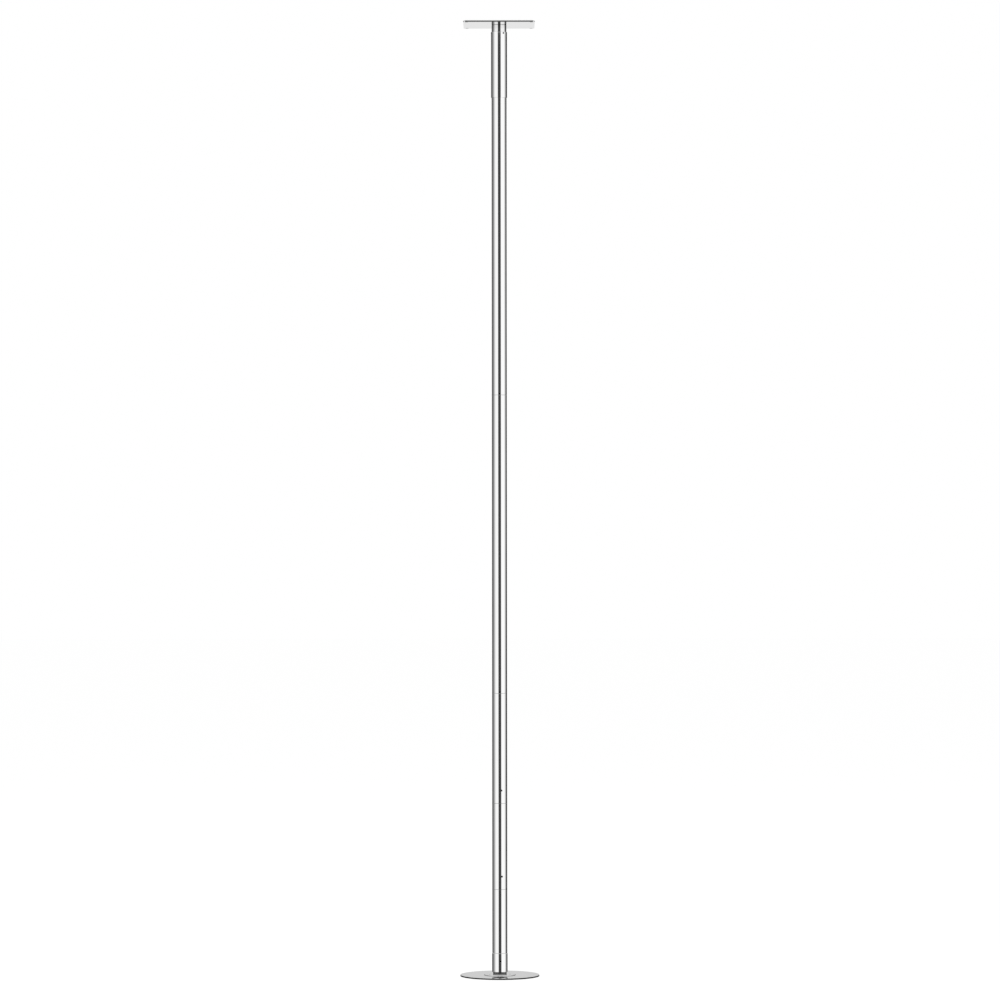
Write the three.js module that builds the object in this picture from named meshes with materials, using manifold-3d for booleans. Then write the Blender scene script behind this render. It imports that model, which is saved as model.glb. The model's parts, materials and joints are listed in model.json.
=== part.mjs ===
// A two mode dance pole of 45 mm tube, standing between floor and ceiling.
// Millimetres, +Z up, origin in the middle of the foot's underside, the front of the pole faces -Y.
// From the floor up: a round base with a screw jack, a bearing housing, three extension tubes,
// two main tubes held together by expanding joiners, a telescoping top post under a cover sleeve,
// and a swivel head below a square ceiling plate.

import * as THREE from 'three';
import { mergeVertices } from 'three/addons/utils/BufferGeometryUtils.js';
import Module from 'manifold-3d';

const wasm = await Module();
wasm.setup();

// Clearances shared by the whole pole
const fitGap = 0.3;
const faceGap = 0.05;
const seamGap = 0.1;
const runningGap = 0.4;
const cutOverrun = 1;
const mergeTolerance = 1e-4;

// Sides of round pieces, as counts
const tubeSides = 24;
const plateSides = 40;
const ringSides = 20;
const screwSides = 8;
const clipSides = 10;
const cornerSides = 4;
const ballSides = 6;
const ballRows = 4;
const grooveSteps = 3;
const hexSides = 6;

// Tubes of the pole
const tubeDiameter = 45;
const tubeWall = 2;
const seamChamfer = 0.3;
const shortExtensionLength = 190;
const middleExtensionLength = 256;
const longExtensionLength = 327.5;
const lowerTubeLength = 888;
const upperTubeLength = 999.1;

// Floor plate, its pad and its raised flange
const basePadThickness = 1;
const basePadInset = 2.5;
const baseDiameter = 235;
const baseThickness = 4;
const baseEdgeRound = 1;
const flangeDiameter = 95;
const flangeThickness = 2.5;
const flangeEdgeRound = 0.6;
const flangeScrewCircle = 70;
const flangeScrewCount = 3;
const flangeScrewDiameter = 5;

// Screw jack
const spindleDiameter = 20;
const spindleChamfer = 1;
const keywayWidth = 5;
const keywayDepth = 2.5;
const jackTravel = 30;
const jackNutAcross = 40;
const jackNutHeight = 4;
const jackNutChamfer = 1.3;
const jackWasherDiameter = 41;
const jackWasherThickness = 1.4;
const centreBoltDiameter = 8;
const centreBoltReach = 18;

// Bearing housing at the foot
const housingDiameter = 46.5;
const housingLength = 56;
const housingChamfer = 0.5;
const guidePlugLength = 14;
const housingLandLength = 11.9;
const housingLandClearance = 1;
const lockScrewDrop = 24;
const lockScrewDiameter = 6;
const lockScrewLength = 6.2;
const lockScrewTravel = 0.9;
const lockScrewAngle = 4.5;
const clipThickness = 1.3;
const clipDepth = 0.8;
const clipWidth = 3.2;
const clipOpeningAngle = 40;

// Spinning shaft in the housing
const shaftHeadLength = 50;
const shaftHeadWall = 5.2;
const shaftBoreClearance = 0.75;
const shaftBoreAboveSeam = 8;
const shaftCollarRise = 1.5;
const shaftScrewHeight = 25;
const shaftScrewAngle = 180;

// Thrust bearing and ball bearing of the foot
const footThrustBore = 25;
const footThrustDiameter = 42;
const footBearingBore = 30;
const footBearingDiameter = 42;
const footBearingWidth = 7;

// Thrust bearing and ball bearing of the head
const headThrustBore = 20;
const headThrustDiameter = 35;
const headBearingBore = 20;
const headBearingDiameter = 37;
const headBearingWidth = 9;

// Proportions of the bearings
const washerThickness = 3.4;
const thrustBallDiameter = 5.4;
const thrustFaceOffset = 1.9;
const thrustCageThickness = 2.4;
const thrustCageMargin = 1;
const thrustBallCount = 8;
const bearingBallDiameter = 3.8;
const bearingFaceOffset = 1.2;
const bearingCageThickness = 1.2;
const bearingCageHeightShare = 0.62;
const bearingBallCount = 9;

// Spigots of the extension tubes and the screws that hold them
const spigotBelow = 45;
const spigotAbove = 60;
const spigotWall = 4;
const spigotChamfer = 1.5;
const spigotScrewRise = 38.5;
const spigotScrewDiameter = 5;
const spigotScrewSunk = 1;
const middleSpigotScrewAngle = 14;
const shortSpigotScrewAngle = 17;

// Expanding joiners of the main tubes
const joinerLength = 120;
const joinerWall = 4;
const joinerSplit = 2;
const joinerBlockHeight = 30;
const joinerScrewDiameter = 8;
const joinerScrewSunk = 2.7;
const joinerDimpleDepth = 1.5;
const joinerScrewRise = 3.6;
const joinerHoleDiameter = 4.4;

// Telescoping top post
const postDiameter = 37;
const postWall = 3;
const postInsideTube = 140;
const telescopeGap = 40;
const guideCollarLength = 60;
const footBushLength = 20;
const clampScrewDiameter = 6;
const clampScrewDrops = [18, 44];
const clampScrewSunk = 0.1;
const clampScrewTurn = 180;

// Head below the ceiling plate
const neckDiameter = 43.8;
const neckLength = 62.4;
const neckChamfer = 0.4;
const neckLandLength = 7.7;
const neckLandClearance = 1.5;
const studCollarHeight = 9;
const studTailLength = 5;
const studGrooveDepth = 1;

// Ceiling plate and its pad
const ceilingPlateSide = 212;
const ceilingPlateThickness = 4;
const ceilingCornerRadius = 6;
const ceilingPadThickness = 1;
const ceilingPadInset = 3;
const ceilingHoleInset = 10;
const ceilingHoleDiameter = 5.5;
const ceilingHoleHead = 10;

// Cover sleeve
const sleeveDiameter = 48;
const sleeveWall = 1.2;
const sleeveLength = 196;
const sleeveDrop = 20.8;
const sleeveScrewDiameter = 4.5;
const sleeveScrewDrop = 4;
const sleeveScrewCount = 3;
const sleeveScrewAngle = 33;
const sleeveScrewSunk = 0.2;

// Drives of the screws, as shares of the screw's diameter
const socketAcrossShare = 0.55;
const socketDepthShare = 0.6;
const sinkHeadShare = 2;

// Radii that several pieces share
const tubeRadius = tubeDiameter / 2;
const tubeBore = tubeRadius - tubeWall;
const insertRadius = tubeBore - fitGap;
const spindleRadius = spindleDiameter / 2;
const housingRadius = housingDiameter / 2;
const shaftRadius = footBearingBore / 2 - fitGap;
const shaftCollarRadius = shaftRadius + shaftCollarRise;
const footPocketRadius = Math.max(footThrustDiameter, footBearingDiameter) / 2 + fitGap;
const housingLandBore = shaftRadius + housingLandClearance;
const postRadius = postDiameter / 2;
const postBore = postRadius - postWall;
const neckRadius = neckDiameter / 2;
const studRadius = headBearingBore / 2 - fitGap;
const sleeveRadius = sleeveDiameter / 2;
const sleeveBore = sleeveRadius - sleeveWall;

// Heights from the floor, each worked out from the piece below
const thrustHeight = 2 * (washerThickness + thrustFaceOffset);
const baseBottom = basePadThickness + faceGap;
const flangeBottom = baseBottom + baseThickness + faceGap;
const flangeTop = flangeBottom + flangeThickness;
const nutBottom = flangeTop + fitGap;
const jackWasherBottom = nutBottom + jackNutHeight + faceGap;
const housingBottom = jackWasherBottom + jackWasherThickness + faceGap;
const footThrustBottom = housingBottom + guidePlugLength + faceGap;
const footLandBottom = footThrustBottom + thrustHeight + runningGap;
const footBearingBottom = footLandBottom + housingLandLength + faceGap;
const footBearingTop = footBearingBottom + footBearingWidth;
const housingTop = housingBottom + housingLength;
const poleBottom = housingTop + runningGap;
const shortTop = poleBottom + shortExtensionLength;
const middleBottom = shortTop + seamGap;
const middleTop = middleBottom + middleExtensionLength;
const longBottom = middleTop + seamGap;
const longTop = longBottom + longExtensionLength;
const lowerBottom = longTop + seamGap;
const lowerTop = lowerBottom + lowerTubeLength;
const upperBottom = lowerTop + seamGap;
const upperTop = upperBottom + upperTubeLength;
const neckBottom = upperTop + telescopeGap;
const neckTop = neckBottom + neckLength;
const ceilingBottom = neckTop + runningGap;
const headThrustTop = ceilingBottom - studCollarHeight - faceGap;
const headThrustBottom = headThrustTop - thrustHeight;
const neckLandTop = headThrustBottom - faceGap;
const neckLandBottom = neckLandTop - neckLandLength;
const headBearingTop = neckLandBottom - faceGap;
const headBearingBottom = headBearingTop - headBearingWidth;
const postTop = headBearingBottom - fitGap;
const studGrooveTop = headBearingBottom - faceGap;
const studGrooveBottom = studGrooveTop - clipThickness - 2 * faceGap;
const studBottom = studGrooveBottom - studTailLength;
const postBottom = upperTop - postInsideTube;
const sleeveTop = ceilingBottom - sleeveDrop;
const sleeveBottom = sleeveTop - sleeveLength;
const spindleTop = housingBottom + jackTravel + guidePlugLength + jackNutHeight;

// Finishes
function finish(color, roughness, metalness) {
  return new THREE.MeshStandardMaterial({ color, roughness, metalness });
}

const chrome = () => finish(0xe4e6e8, 0.06, 1);
const polishedSteel = () => finish(0xcfd2d4, 0.16, 1);
const brushedSteel = () => finish(0xb4b7ba, 0.34, 1);
const bearingSteel = () => finish(0xc2c5c8, 0.14, 1);
const darkSteel = () => finish(0x35373a, 0.4, 0.9);
const brass = () => finish(0xb99a58, 0.3, 1);
const rubber = () => finish(0x1b1b1c, 0.85, 0);

// Closed shapes and booleans

function closedGeometry(geometry) {
  geometry.deleteAttribute('normal');
  geometry.deleteAttribute('uv');
  const merged = mergeVertices(geometry, mergeTolerance);
  const corners = merged.index.array;
  const kept = [];
  for (let i = 0; i < corners.length; i += 3) {
    const [a, b, c] = [corners[i], corners[i + 1], corners[i + 2]];
    if (a !== b && b !== c && c !== a) kept.push(a, b, c);
  }
  merged.setIndex(kept);
  return merged;
}

function toSolid(geometry) {
  const merged = closedGeometry(geometry);
  const vertProperties = new Float32Array(merged.attributes.position.array);
  const triVerts = new Uint32Array(merged.index.array);
  return new wasm.Manifold(new wasm.Mesh({ numProp: 3, vertProperties, triVerts }));
}

function toGeometry(solid) {
  const mesh = solid.getMesh();
  const geometry = new THREE.BufferGeometry();
  geometry.setAttribute('position', new THREE.BufferAttribute(mesh.vertProperties, 3));
  geometry.setIndex(new THREE.BufferAttribute(mesh.triVerts, 1));
  return geometry;
}

function cut(geometry, ...cutters) {
  let solid = toSolid(geometry);
  for (const cutter of cutters) solid = solid.subtract(toSolid(cutter));
  return toGeometry(solid);
}

function join(geometry, ...others) {
  let solid = toSolid(geometry);
  for (const other of others) solid = solid.add(toSolid(other));
  return toGeometry(solid);
}

function keepInside(geometry, region) {
  return toGeometry(toSolid(geometry).intersect(toSolid(region)));
}

// Turned shapes: points run anticlockwise with the radius to the right and the height upwards

function turned(points, sides) {
  const onAxis = points[0][0] === 0;
  const loop = onAxis ? points : [...points, points[0]];
  const profile = loop.map(([radius, height]) => new THREE.Vector2(radius, height));
  const geometry = new THREE.LatheGeometry(profile, sides);
  geometry.rotateX(Math.PI / 2);
  return geometry;
}

function ring(inner, outer, low, high, sides = ringSides) {
  return turned([[inner, low], [outer, low], [outer, high], [inner, high]], sides);
}

function chamferedRing(inner, outer, low, high, chamfer, sides = tubeSides) {
  return turned([
    [inner, low],
    [outer - chamfer, low],
    [outer, low + chamfer],
    [outer, high - chamfer],
    [outer - chamfer, high],
    [inner, high],
  ], sides);
}

function disc(radius, low, high, sides = ringSides) {
  return turned([[0, low], [radius, low], [radius, high], [0, high]], sides);
}

function placed(geometry, x, y, z) {
  geometry.translate(x, y, z);
  return geometry;
}

// A round bar along +Y from one distance to another, which a turn about Z points outwards
function radialBar(radius, from, to, sides = screwSides) {
  const bar = new THREE.CylinderGeometry(radius, radius, to - from, sides);
  bar.translate(0, (from + to) / 2, 0);
  return bar;
}

// The turn that points +Y to an angle, in degrees to the right of the front
function frontTurn(angle) {
  return Math.PI + THREE.MathUtils.degToRad(angle);
}

function radialHole(radius, from, to, height, angle, sides = screwSides) {
  const hole = radialBar(radius, from, to, sides);
  hole.rotateZ(frontTurn(angle));
  hole.translate(0, 0, height);
  return hole;
}

function grubScrew(diameter, from, to) {
  const socketRadius = diameter * socketAcrossShare / Math.sqrt(3);
  const socketDepth = Math.min(diameter, to - from) * socketDepthShare;
  const socket = radialBar(socketRadius, to - socketDepth, to + cutOverrun, hexSides);
  return cut(radialBar(diameter / 2, from, to), socket);
}

function countersunkScrew(diameter, headDepth, reach) {
  const radius = diameter / 2;
  const body = turned([
    [0, 0],
    [radius * sinkHeadShare, 0],
    [radius, headDepth],
    [radius, headDepth + reach],
    [0, headDepth + reach],
  ], screwSides);
  const socket = new THREE.CylinderGeometry(
    radius * socketAcrossShare * 2 / Math.sqrt(3), radius * socketAcrossShare * 2 / Math.sqrt(3),
    headDepth + cutOverrun, hexSides);
  socket.rotateX(Math.PI / 2);
  socket.translate(0, 0, (headDepth - cutOverrun) / 2 - headDepth * (1 - socketDepthShare));
  return cut(body, socket);
}

// The countersink that such a screw sits in, widened by the fit
function countersink(diameter, headDepth, thickness) {
  const radius = diameter / 2 + fitGap;
  const headRadius = diameter / 2 * sinkHeadShare + fitGap;
  const slope = (headRadius - radius) / headDepth;
  return turned([
    [0, -cutOverrun],
    [headRadius + slope * cutOverrun, -cutOverrun],
    [radius, headDepth],
    [radius, thickness + cutOverrun],
    [0, thickness + cutOverrun],
  ], screwSides);
}

function addMesh(group, name, geometry, material, height = 0, turn = 0) {
  const mesh = new THREE.Mesh(closedGeometry(geometry), material);
  mesh.name = name;
  mesh.position.z = height;
  mesh.rotation.z = turn;
  group.add(mesh);
  return mesh;
}

// Bearings

// The arc of a ball groove, from one angle to another about the middle of the balls
function grooveArc(pitch, middle, radius, fromAngle, toAngle) {
  const points = [];
  for (let i = 0; i <= grooveSteps; i += 1) {
    const angle = THREE.MathUtils.lerp(fromAngle, toAngle, i / grooveSteps);
    points.push([pitch + radius * Math.cos(angle), middle + radius * Math.sin(angle)]);
  }
  return points;
}

// A thrust washer whose groove faces up; its back lies at height zero
function thrustWasher(bore, outer) {
  const pitch = (bore + outer) / 2;
  const grooveRadius = thrustBallDiameter / 2 + fitGap;
  const middle = washerThickness + thrustFaceOffset;
  const halfAngle = Math.acos(thrustFaceOffset / grooveRadius);
  const down = -Math.PI / 2;
  return turned([
    [bore, 0],
    [outer, 0],
    [outer, washerThickness],
    ...grooveArc(pitch, middle, grooveRadius, down + halfAngle, down - halfAngle),
    [bore, washerThickness],
  ], ringSides);
}

// Each ball sits in the middle of a flat of its cage, which has two flats for each ball
function ballsOnCircle(ballDiameter, pitch, count) {
  const firstAngle = (Math.PI / count - Math.PI) / 2;
  return Array.from({ length: count }, (_, i) => {
    const angle = firstAngle + i / count * 2 * Math.PI;
    const ball = new THREE.SphereGeometry(ballDiameter / 2, ballSides, ballRows);
    return placed(ball, pitch * Math.cos(angle), pitch * Math.sin(angle), 0);
  });
}

function thrustCage(bore, outer) {
  const pitch = (bore + outer) / 2;
  const half = thrustCageThickness / 2;
  const plate = ring(
    bore + thrustCageMargin, outer - thrustCageMargin, -half, half, 2 * thrustBallCount);
  return join(plate, ...ballsOnCircle(thrustBallDiameter, pitch, thrustBallCount));
}

function bearingOuterRing(bore, outer, width) {
  const pitch = (bore + outer) / 2;
  const grooveRadius = bearingBallDiameter / 2 + fitGap;
  const halfAngle = Math.acos(bearingFaceOffset / grooveRadius);
  return turned([
    [pitch + bearingFaceOffset, 0],
    [outer, 0],
    [outer, width],
    [pitch + bearingFaceOffset, width],
    ...grooveArc(pitch, width / 2, grooveRadius, halfAngle, -halfAngle),
  ], ringSides);
}

function bearingInnerRing(bore, outer, width) {
  const pitch = (bore + outer) / 2;
  const grooveRadius = bearingBallDiameter / 2 + fitGap;
  const halfAngle = Math.acos(bearingFaceOffset / grooveRadius);
  return turned([
    [bore, 0],
    [pitch - bearingFaceOffset, 0],
    ...grooveArc(pitch, width / 2, grooveRadius, -Math.PI + halfAngle, -Math.PI - halfAngle),
    [pitch - bearingFaceOffset, width],
    [bore, width],
  ], ringSides);
}

function bearingCage(bore, outer, width) {
  const pitch = (bore + outer) / 2;
  const half = width * bearingCageHeightShare / 2;
  const wall = bearingCageThickness / 2;
  const band = ring(pitch - wall, pitch + wall, -half, half, 2 * bearingBallCount);
  return join(band, ...ballsOnCircle(bearingBallDiameter, pitch, bearingBallCount));
}

function openClip(inner, outer, thickness) {
  const half = THREE.MathUtils.degToRad(clipOpeningAngle / 2);
  const outline = new THREE.Shape();
  outline.absarc(0, 0, outer, half, 2 * Math.PI - half, false);
  outline.absarc(0, 0, inner, 2 * Math.PI - half, half, true);
  outline.closePath();
  return new THREE.ExtrudeGeometry(outline, {
    depth: thickness, bevelEnabled: false, curveSegments: clipSides,
  });
}

// Floor base

function basePlate() {
  const radius = baseDiameter / 2;
  const plate = turned([
    [0, 0],
    [radius, 0],
    [radius, baseThickness - baseEdgeRound],
    [radius - baseEdgeRound * (1 - Math.SQRT1_2), baseThickness - baseEdgeRound * (1 - Math.SQRT1_2)],
    [radius - baseEdgeRound, baseThickness],
    [0, baseThickness],
  ], plateSides);
  const sinks = flangeScrewPlaces().map(({ x, y }) =>
    placed(countersink(flangeScrewDiameter, flangeScrewHead(), baseThickness), x, y, 0));
  return cut(plate, countersink(centreBoltDiameter, centreBoltHead(baseThickness), baseThickness), ...sinks);
}

// The heads of the countersunk screws are as deep as they are wide from shank to rim
function centreBoltHead(plateThickness) {
  return Math.min(centreBoltDiameter / 2 * (sinkHeadShare - 1), plateThickness);
}

function flangeScrewHead() {
  return Math.min(flangeScrewDiameter / 2 * (sinkHeadShare - 1), baseThickness);
}

function flangeScrewPlaces() {
  return Array.from({ length: flangeScrewCount }, (_, i) => {
    const angle = i / flangeScrewCount * 2 * Math.PI + Math.PI / 2;
    return {
      x: flangeScrewCircle / 2 * Math.cos(angle),
      y: flangeScrewCircle / 2 * Math.sin(angle),
    };
  });
}

function spindleFlange() {
  const radius = flangeDiameter / 2;
  const plate = turned([
    [0, 0],
    [radius, 0],
    [radius, flangeThickness - flangeEdgeRound],
    [radius - flangeEdgeRound, flangeThickness],
    [0, flangeThickness],
  ], plateSides);
  const hole = (diameter) =>
    disc(diameter / 2 + fitGap, -cutOverrun, flangeThickness + cutOverrun, screwSides);
  const centreHole = hole(centreBoltDiameter);
  const screwHoles = flangeScrewPlaces().map(({ x, y }) => placed(hole(flangeScrewDiameter), x, y, 0));
  return cut(plate, centreHole, ...screwHoles);
}

// The spindle stands on the flange, with a keyway at the back that stops the housing turning
function jackSpindle() {
  const length = spindleTop - flangeTop - faceGap;
  const rod = turned([
    [0, 0],
    [spindleRadius, 0],
    [spindleRadius, length - spindleChamfer],
    [spindleRadius - spindleChamfer, length],
    [0, length],
  ], ringSides);
  const boltHole = disc(centreBoltDiameter / 2 + fitGap, -cutOverrun, centreBoltReach + fitGap, screwSides);
  const keyway = new THREE.BoxGeometry(keywayWidth, keywayDepth + cutOverrun, length);
  const keywayBottom = nutBottom - flangeTop + jackNutHeight;
  keyway.translate(
    0, spindleRadius - keywayDepth + (keywayDepth + cutOverrun) / 2, keywayBottom + length / 2);
  return cut(rod, boltHole, keyway);
}

function jackNut() {
  const corner = jackNutAcross / Math.sqrt(3);
  const flat = jackNutAcross / 2;
  const prism = new THREE.CylinderGeometry(corner, corner, jackNutHeight, hexSides);
  prism.rotateX(Math.PI / 2);
  prism.rotateZ(2 * Math.PI / hexSides);
  prism.translate(0, 0, jackNutHeight / 2);
  const rise = jackNutChamfer;
  const run = corner - flat;
  const envelope = turned([
    [spindleRadius + fitGap, 0],
    [corner + run, 0],
    [corner + run, jackNutHeight - 2 * rise],
    [flat, jackNutHeight],
    [spindleRadius + fitGap, jackNutHeight],
  ], tubeSides);
  return keepInside(prism, envelope);
}

function buildFloorBase() {
  const group = new THREE.Group();
  const padRadius = baseDiameter / 2 - basePadInset;
  addMesh(group, 'base_pad', disc(padRadius, 0, basePadThickness, plateSides), rubber());
  addMesh(group, 'base_plate', basePlate(), polishedSteel(), baseBottom);
  addMesh(group, 'spindle_flange', spindleFlange(), polishedSteel(), flangeBottom);
  addMesh(group, 'jack_spindle', jackSpindle(), brushedSteel(), flangeTop + faceGap);
  const boltReach = baseThickness - centreBoltHead(baseThickness) + flangeThickness + centreBoltReach;
  const bolt = countersunkScrew(centreBoltDiameter, centreBoltHead(baseThickness), boltReach);
  addMesh(group, 'spindle_bolt', bolt, darkSteel(), baseBottom);
  flangeScrewPlaces().forEach(({ x, y }, i) => {
    const reach = baseThickness - flangeScrewHead() + flangeThickness - fitGap;
    const screw = countersunkScrew(flangeScrewDiameter, flangeScrewHead(), reach);
    const mesh = addMesh(group, `base_screw_${i + 1}`, screw, darkSteel(), baseBottom);
    mesh.position.x = x;
    mesh.position.y = y;
  });
  addMesh(group, 'jack_nut', jackNut(), polishedSteel(), nutBottom);
  const washer = ring(spindleRadius + fitGap, jackWasherDiameter / 2, 0, jackWasherThickness);
  addMesh(group, 'jack_washer', washer, darkSteel(), jackWasherBottom);
  return group;
}

// Bearing housing at the foot

// A shell with a land in the middle that carries the lock screw, and a pocket above and below
function bearingHousing() {
  const landBottom = footLandBottom - housingBottom;
  const landTop = landBottom + housingLandLength;
  const clipBottom = footBearingTop + faceGap - housingBottom;
  const clipTop = clipBottom + clipThickness + 2 * faceGap;
  const shell = turned([
    [footPocketRadius, 0],
    [housingRadius - housingChamfer, 0],
    [housingRadius, housingChamfer],
    [housingRadius, housingLength - housingChamfer],
    [housingRadius - housingChamfer, housingLength],
    [footPocketRadius, housingLength],
    [footPocketRadius, clipTop],
    [footPocketRadius + clipDepth, clipTop],
    [footPocketRadius + clipDepth, clipBottom],
    [footPocketRadius, clipBottom],
    [footPocketRadius, landTop],
    [housingLandBore, landTop],
    [housingLandBore, landBottom],
    [footPocketRadius, landBottom],
  ], tubeSides);
  const lockHole = radialHole(
    lockScrewDiameter / 2 + fitGap, housingLandBore - cutOverrun, housingRadius + cutOverrun,
    housingLength - lockScrewDrop, lockScrewAngle);
  return cut(shell, lockHole);
}

// The plug closes the housing from below, slides on the spindle and carries the thrust bearing
function guidePlug() {
  const bore = spindleRadius + fitGap;
  const plug = ring(bore, footPocketRadius - fitGap, 0, guidePlugLength);
  const keyWidth = keywayWidth - 2 * fitGap;
  const keyTip = spindleRadius - keywayDepth + fitGap;
  const keyRoot = bore + cutOverrun;
  const key = new THREE.BoxGeometry(keyWidth, keyRoot - keyTip, guidePlugLength);
  key.translate(0, (keyRoot + keyTip) / 2, guidePlugLength / 2);
  return join(plug, key);
}

function spinShaft() {
  const bottom = footThrustBottom + faceGap;
  const at = (height) => height - bottom;
  const seat = poleBottom + shaftHeadLength;
  const narrow = footThrustBore / 2 - fitGap;
  const lowBore = spindleRadius + shaftBoreClearance;
  const highBore = insertRadius - shaftHeadWall;
  const thrustTop = footThrustBottom + thrustHeight + faceGap;
  const collar = footBearingTop + faceGap;
  const step = poleBottom + shaftBoreAboveSeam;
  const body = turned([
    [lowBore, 0],
    [narrow, 0],
    [narrow, at(thrustTop)],
    [shaftRadius, at(thrustTop)],
    [shaftRadius, at(collar)],
    [shaftCollarRadius, at(collar)],
    [shaftCollarRadius, at(poleBottom)],
    [insertRadius, at(poleBottom)],
    [insertRadius, at(seat) - spigotChamfer],
    [insertRadius - spigotChamfer, at(seat)],
    [highBore, at(seat)],
    [highBore, at(step)],
    [lowBore, at(step)],
  ], ringSides);
  const screwHole = radialHole(
    spigotScrewDiameter / 2 + fitGap, highBore - cutOverrun, insertRadius + cutOverrun,
    at(poleBottom + shaftScrewHeight), shaftScrewAngle);
  return cut(body, screwHole);
}

function buildFoot() {
  const group = new THREE.Group();
  addMesh(group, 'bearing_housing', bearingHousing(), chrome(), housingBottom);
  addMesh(group, 'guide_plug', guidePlug(), brushedSteel(), housingBottom);

  const thrustOuter = footThrustDiameter / 2;
  const thrustInner = footThrustBore / 2;
  const washer = () => thrustWasher(thrustInner, thrustOuter - fitGap);
  addMesh(group, 'foot_thrust_lower_washer', washer(), bearingSteel(), footThrustBottom);
  const middle = footThrustBottom + washerThickness + thrustFaceOffset;
  addMesh(group, 'foot_thrust_cage', thrustCage(thrustInner, thrustOuter - fitGap), brass(), middle);
  const upper = addMesh(
    group, 'foot_thrust_upper_washer', washer(), bearingSteel(), footThrustBottom + thrustHeight);
  upper.rotation.x = Math.PI;

  const bearing = [footBearingBore / 2, footBearingDiameter / 2, footBearingWidth];
  addMesh(group, 'foot_bearing_outer_ring', bearingOuterRing(...bearing), bearingSteel(), footBearingBottom);
  addMesh(group, 'foot_bearing_inner_ring', bearingInnerRing(...bearing), bearingSteel(), footBearingBottom);
  const cageHeight = footBearingBottom + footBearingWidth / 2;
  addMesh(group, 'foot_bearing_cage', bearingCage(...bearing), brass(), cageHeight);

  const clipOuter = footPocketRadius + clipDepth - fitGap;
  const clip = openClip(clipOuter - clipWidth, clipOuter, clipThickness);
  addMesh(group, 'housing_clip', clip, darkSteel(), footBearingTop + 2 * faceGap, Math.PI / 2);

  const tip = shaftRadius + fitGap + lockScrewTravel;
  const lockScrew = grubScrew(lockScrewDiameter, tip, tip + lockScrewLength);
  addMesh(
    group, 'spin_lock_screw', lockScrew, darkSteel(), housingTop - lockScrewDrop, frontTurn(lockScrewAngle));

  addMesh(group, 'spin_shaft', spinShaft(), brushedSteel(), footThrustBottom + faceGap);
  return group;
}

// Tubes of the pole

function poleTube(length, ...holes) {
  const tube = chamferedRing(tubeBore, tubeRadius, 0, length, seamChamfer);
  return holes.length ? cut(tube, ...holes) : tube;
}

function tubeHole(diameter, height, angle) {
  return radialHole(diameter / 2 + fitGap, tubeBore - cutOverrun, tubeRadius + cutOverrun, height, angle);
}

function spigot(screwAngle) {
  const length = spigotBelow + spigotAbove;
  const body = turned([
    [insertRadius - spigotWall, 0],
    [insertRadius - spigotChamfer, 0],
    [insertRadius, spigotChamfer],
    [insertRadius, length - spigotChamfer],
    [insertRadius - spigotChamfer, length],
    [insertRadius - spigotWall, length],
  ], ringSides);
  const hole = radialHole(
    spigotScrewDiameter / 2 + fitGap, insertRadius - spigotWall - cutOverrun, insertRadius + cutOverrun,
    spigotBelow + spigotScrewRise, screwAngle);
  return cut(body, hole);
}

function spigotScrew() {
  return grubScrew(spigotScrewDiameter, insertRadius - spigotWall + fitGap, tubeRadius - spigotScrewSunk);
}

function addSpigot(group, name, seam, angle) {
  addMesh(group, `${name}_spigot`, spigot(angle), brushedSteel(), seam - spigotBelow);
  const height = seam + spigotScrewRise;
  addMesh(group, `${name}_spigot_screw`, spigotScrew(), darkSteel(), height, frontTurn(angle));
}

// One joiner is a split tube with a block in the middle; its screw pushes the halves apart
function joinerBody() {
  const half = joinerLength / 2;
  const shell = chamferedRing(insertRadius - joinerWall, insertRadius, -half, half, spigotChamfer, ringSides);
  const blockHalf = joinerBlockHeight / 2;
  const block = disc(insertRadius - joinerWall / 2, joinerScrewRise - blockHalf, joinerScrewRise + blockHalf);
  return join(shell, block);
}

function joinerHalf(side) {
  const reach = insertRadius + cutOverrun;
  const region = new THREE.BoxGeometry(2 * reach, reach, joinerLength + cutOverrun);
  region.translate(0, side * (reach + joinerSplit) / 2, 0);
  return keepInside(joinerBody(), region);
}

function joinerFrontHalf() {
  const hole = radialHole(
    joinerScrewDiameter / 2 + fitGap, -joinerSplit, insertRadius + cutOverrun, joinerScrewRise, 0);
  return cut(joinerHalf(-1), hole);
}

function joinerBackHalf() {
  const from = -(joinerSplit / 2 + joinerDimpleDepth);
  const dimple = radialHole(joinerScrewDiameter / 2 + fitGap, from, 0, joinerScrewRise, 0);
  return cut(joinerHalf(1), dimple);
}

function addJoiner(group, name, seam) {
  addMesh(group, `${name}_joiner_front`, joinerFrontHalf(), brushedSteel(), seam);
  addMesh(group, `${name}_joiner_back`, joinerBackHalf(), brushedSteel(), seam);
  const tip = -(joinerSplit / 2 + joinerDimpleDepth) + fitGap;
  const screw = grubScrew(joinerScrewDiameter, tip, insertRadius - joinerScrewSunk);
  addMesh(group, `${name}_joiner_screw`, screw, darkSteel(), seam + joinerScrewRise, frontTurn(0));
}

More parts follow.
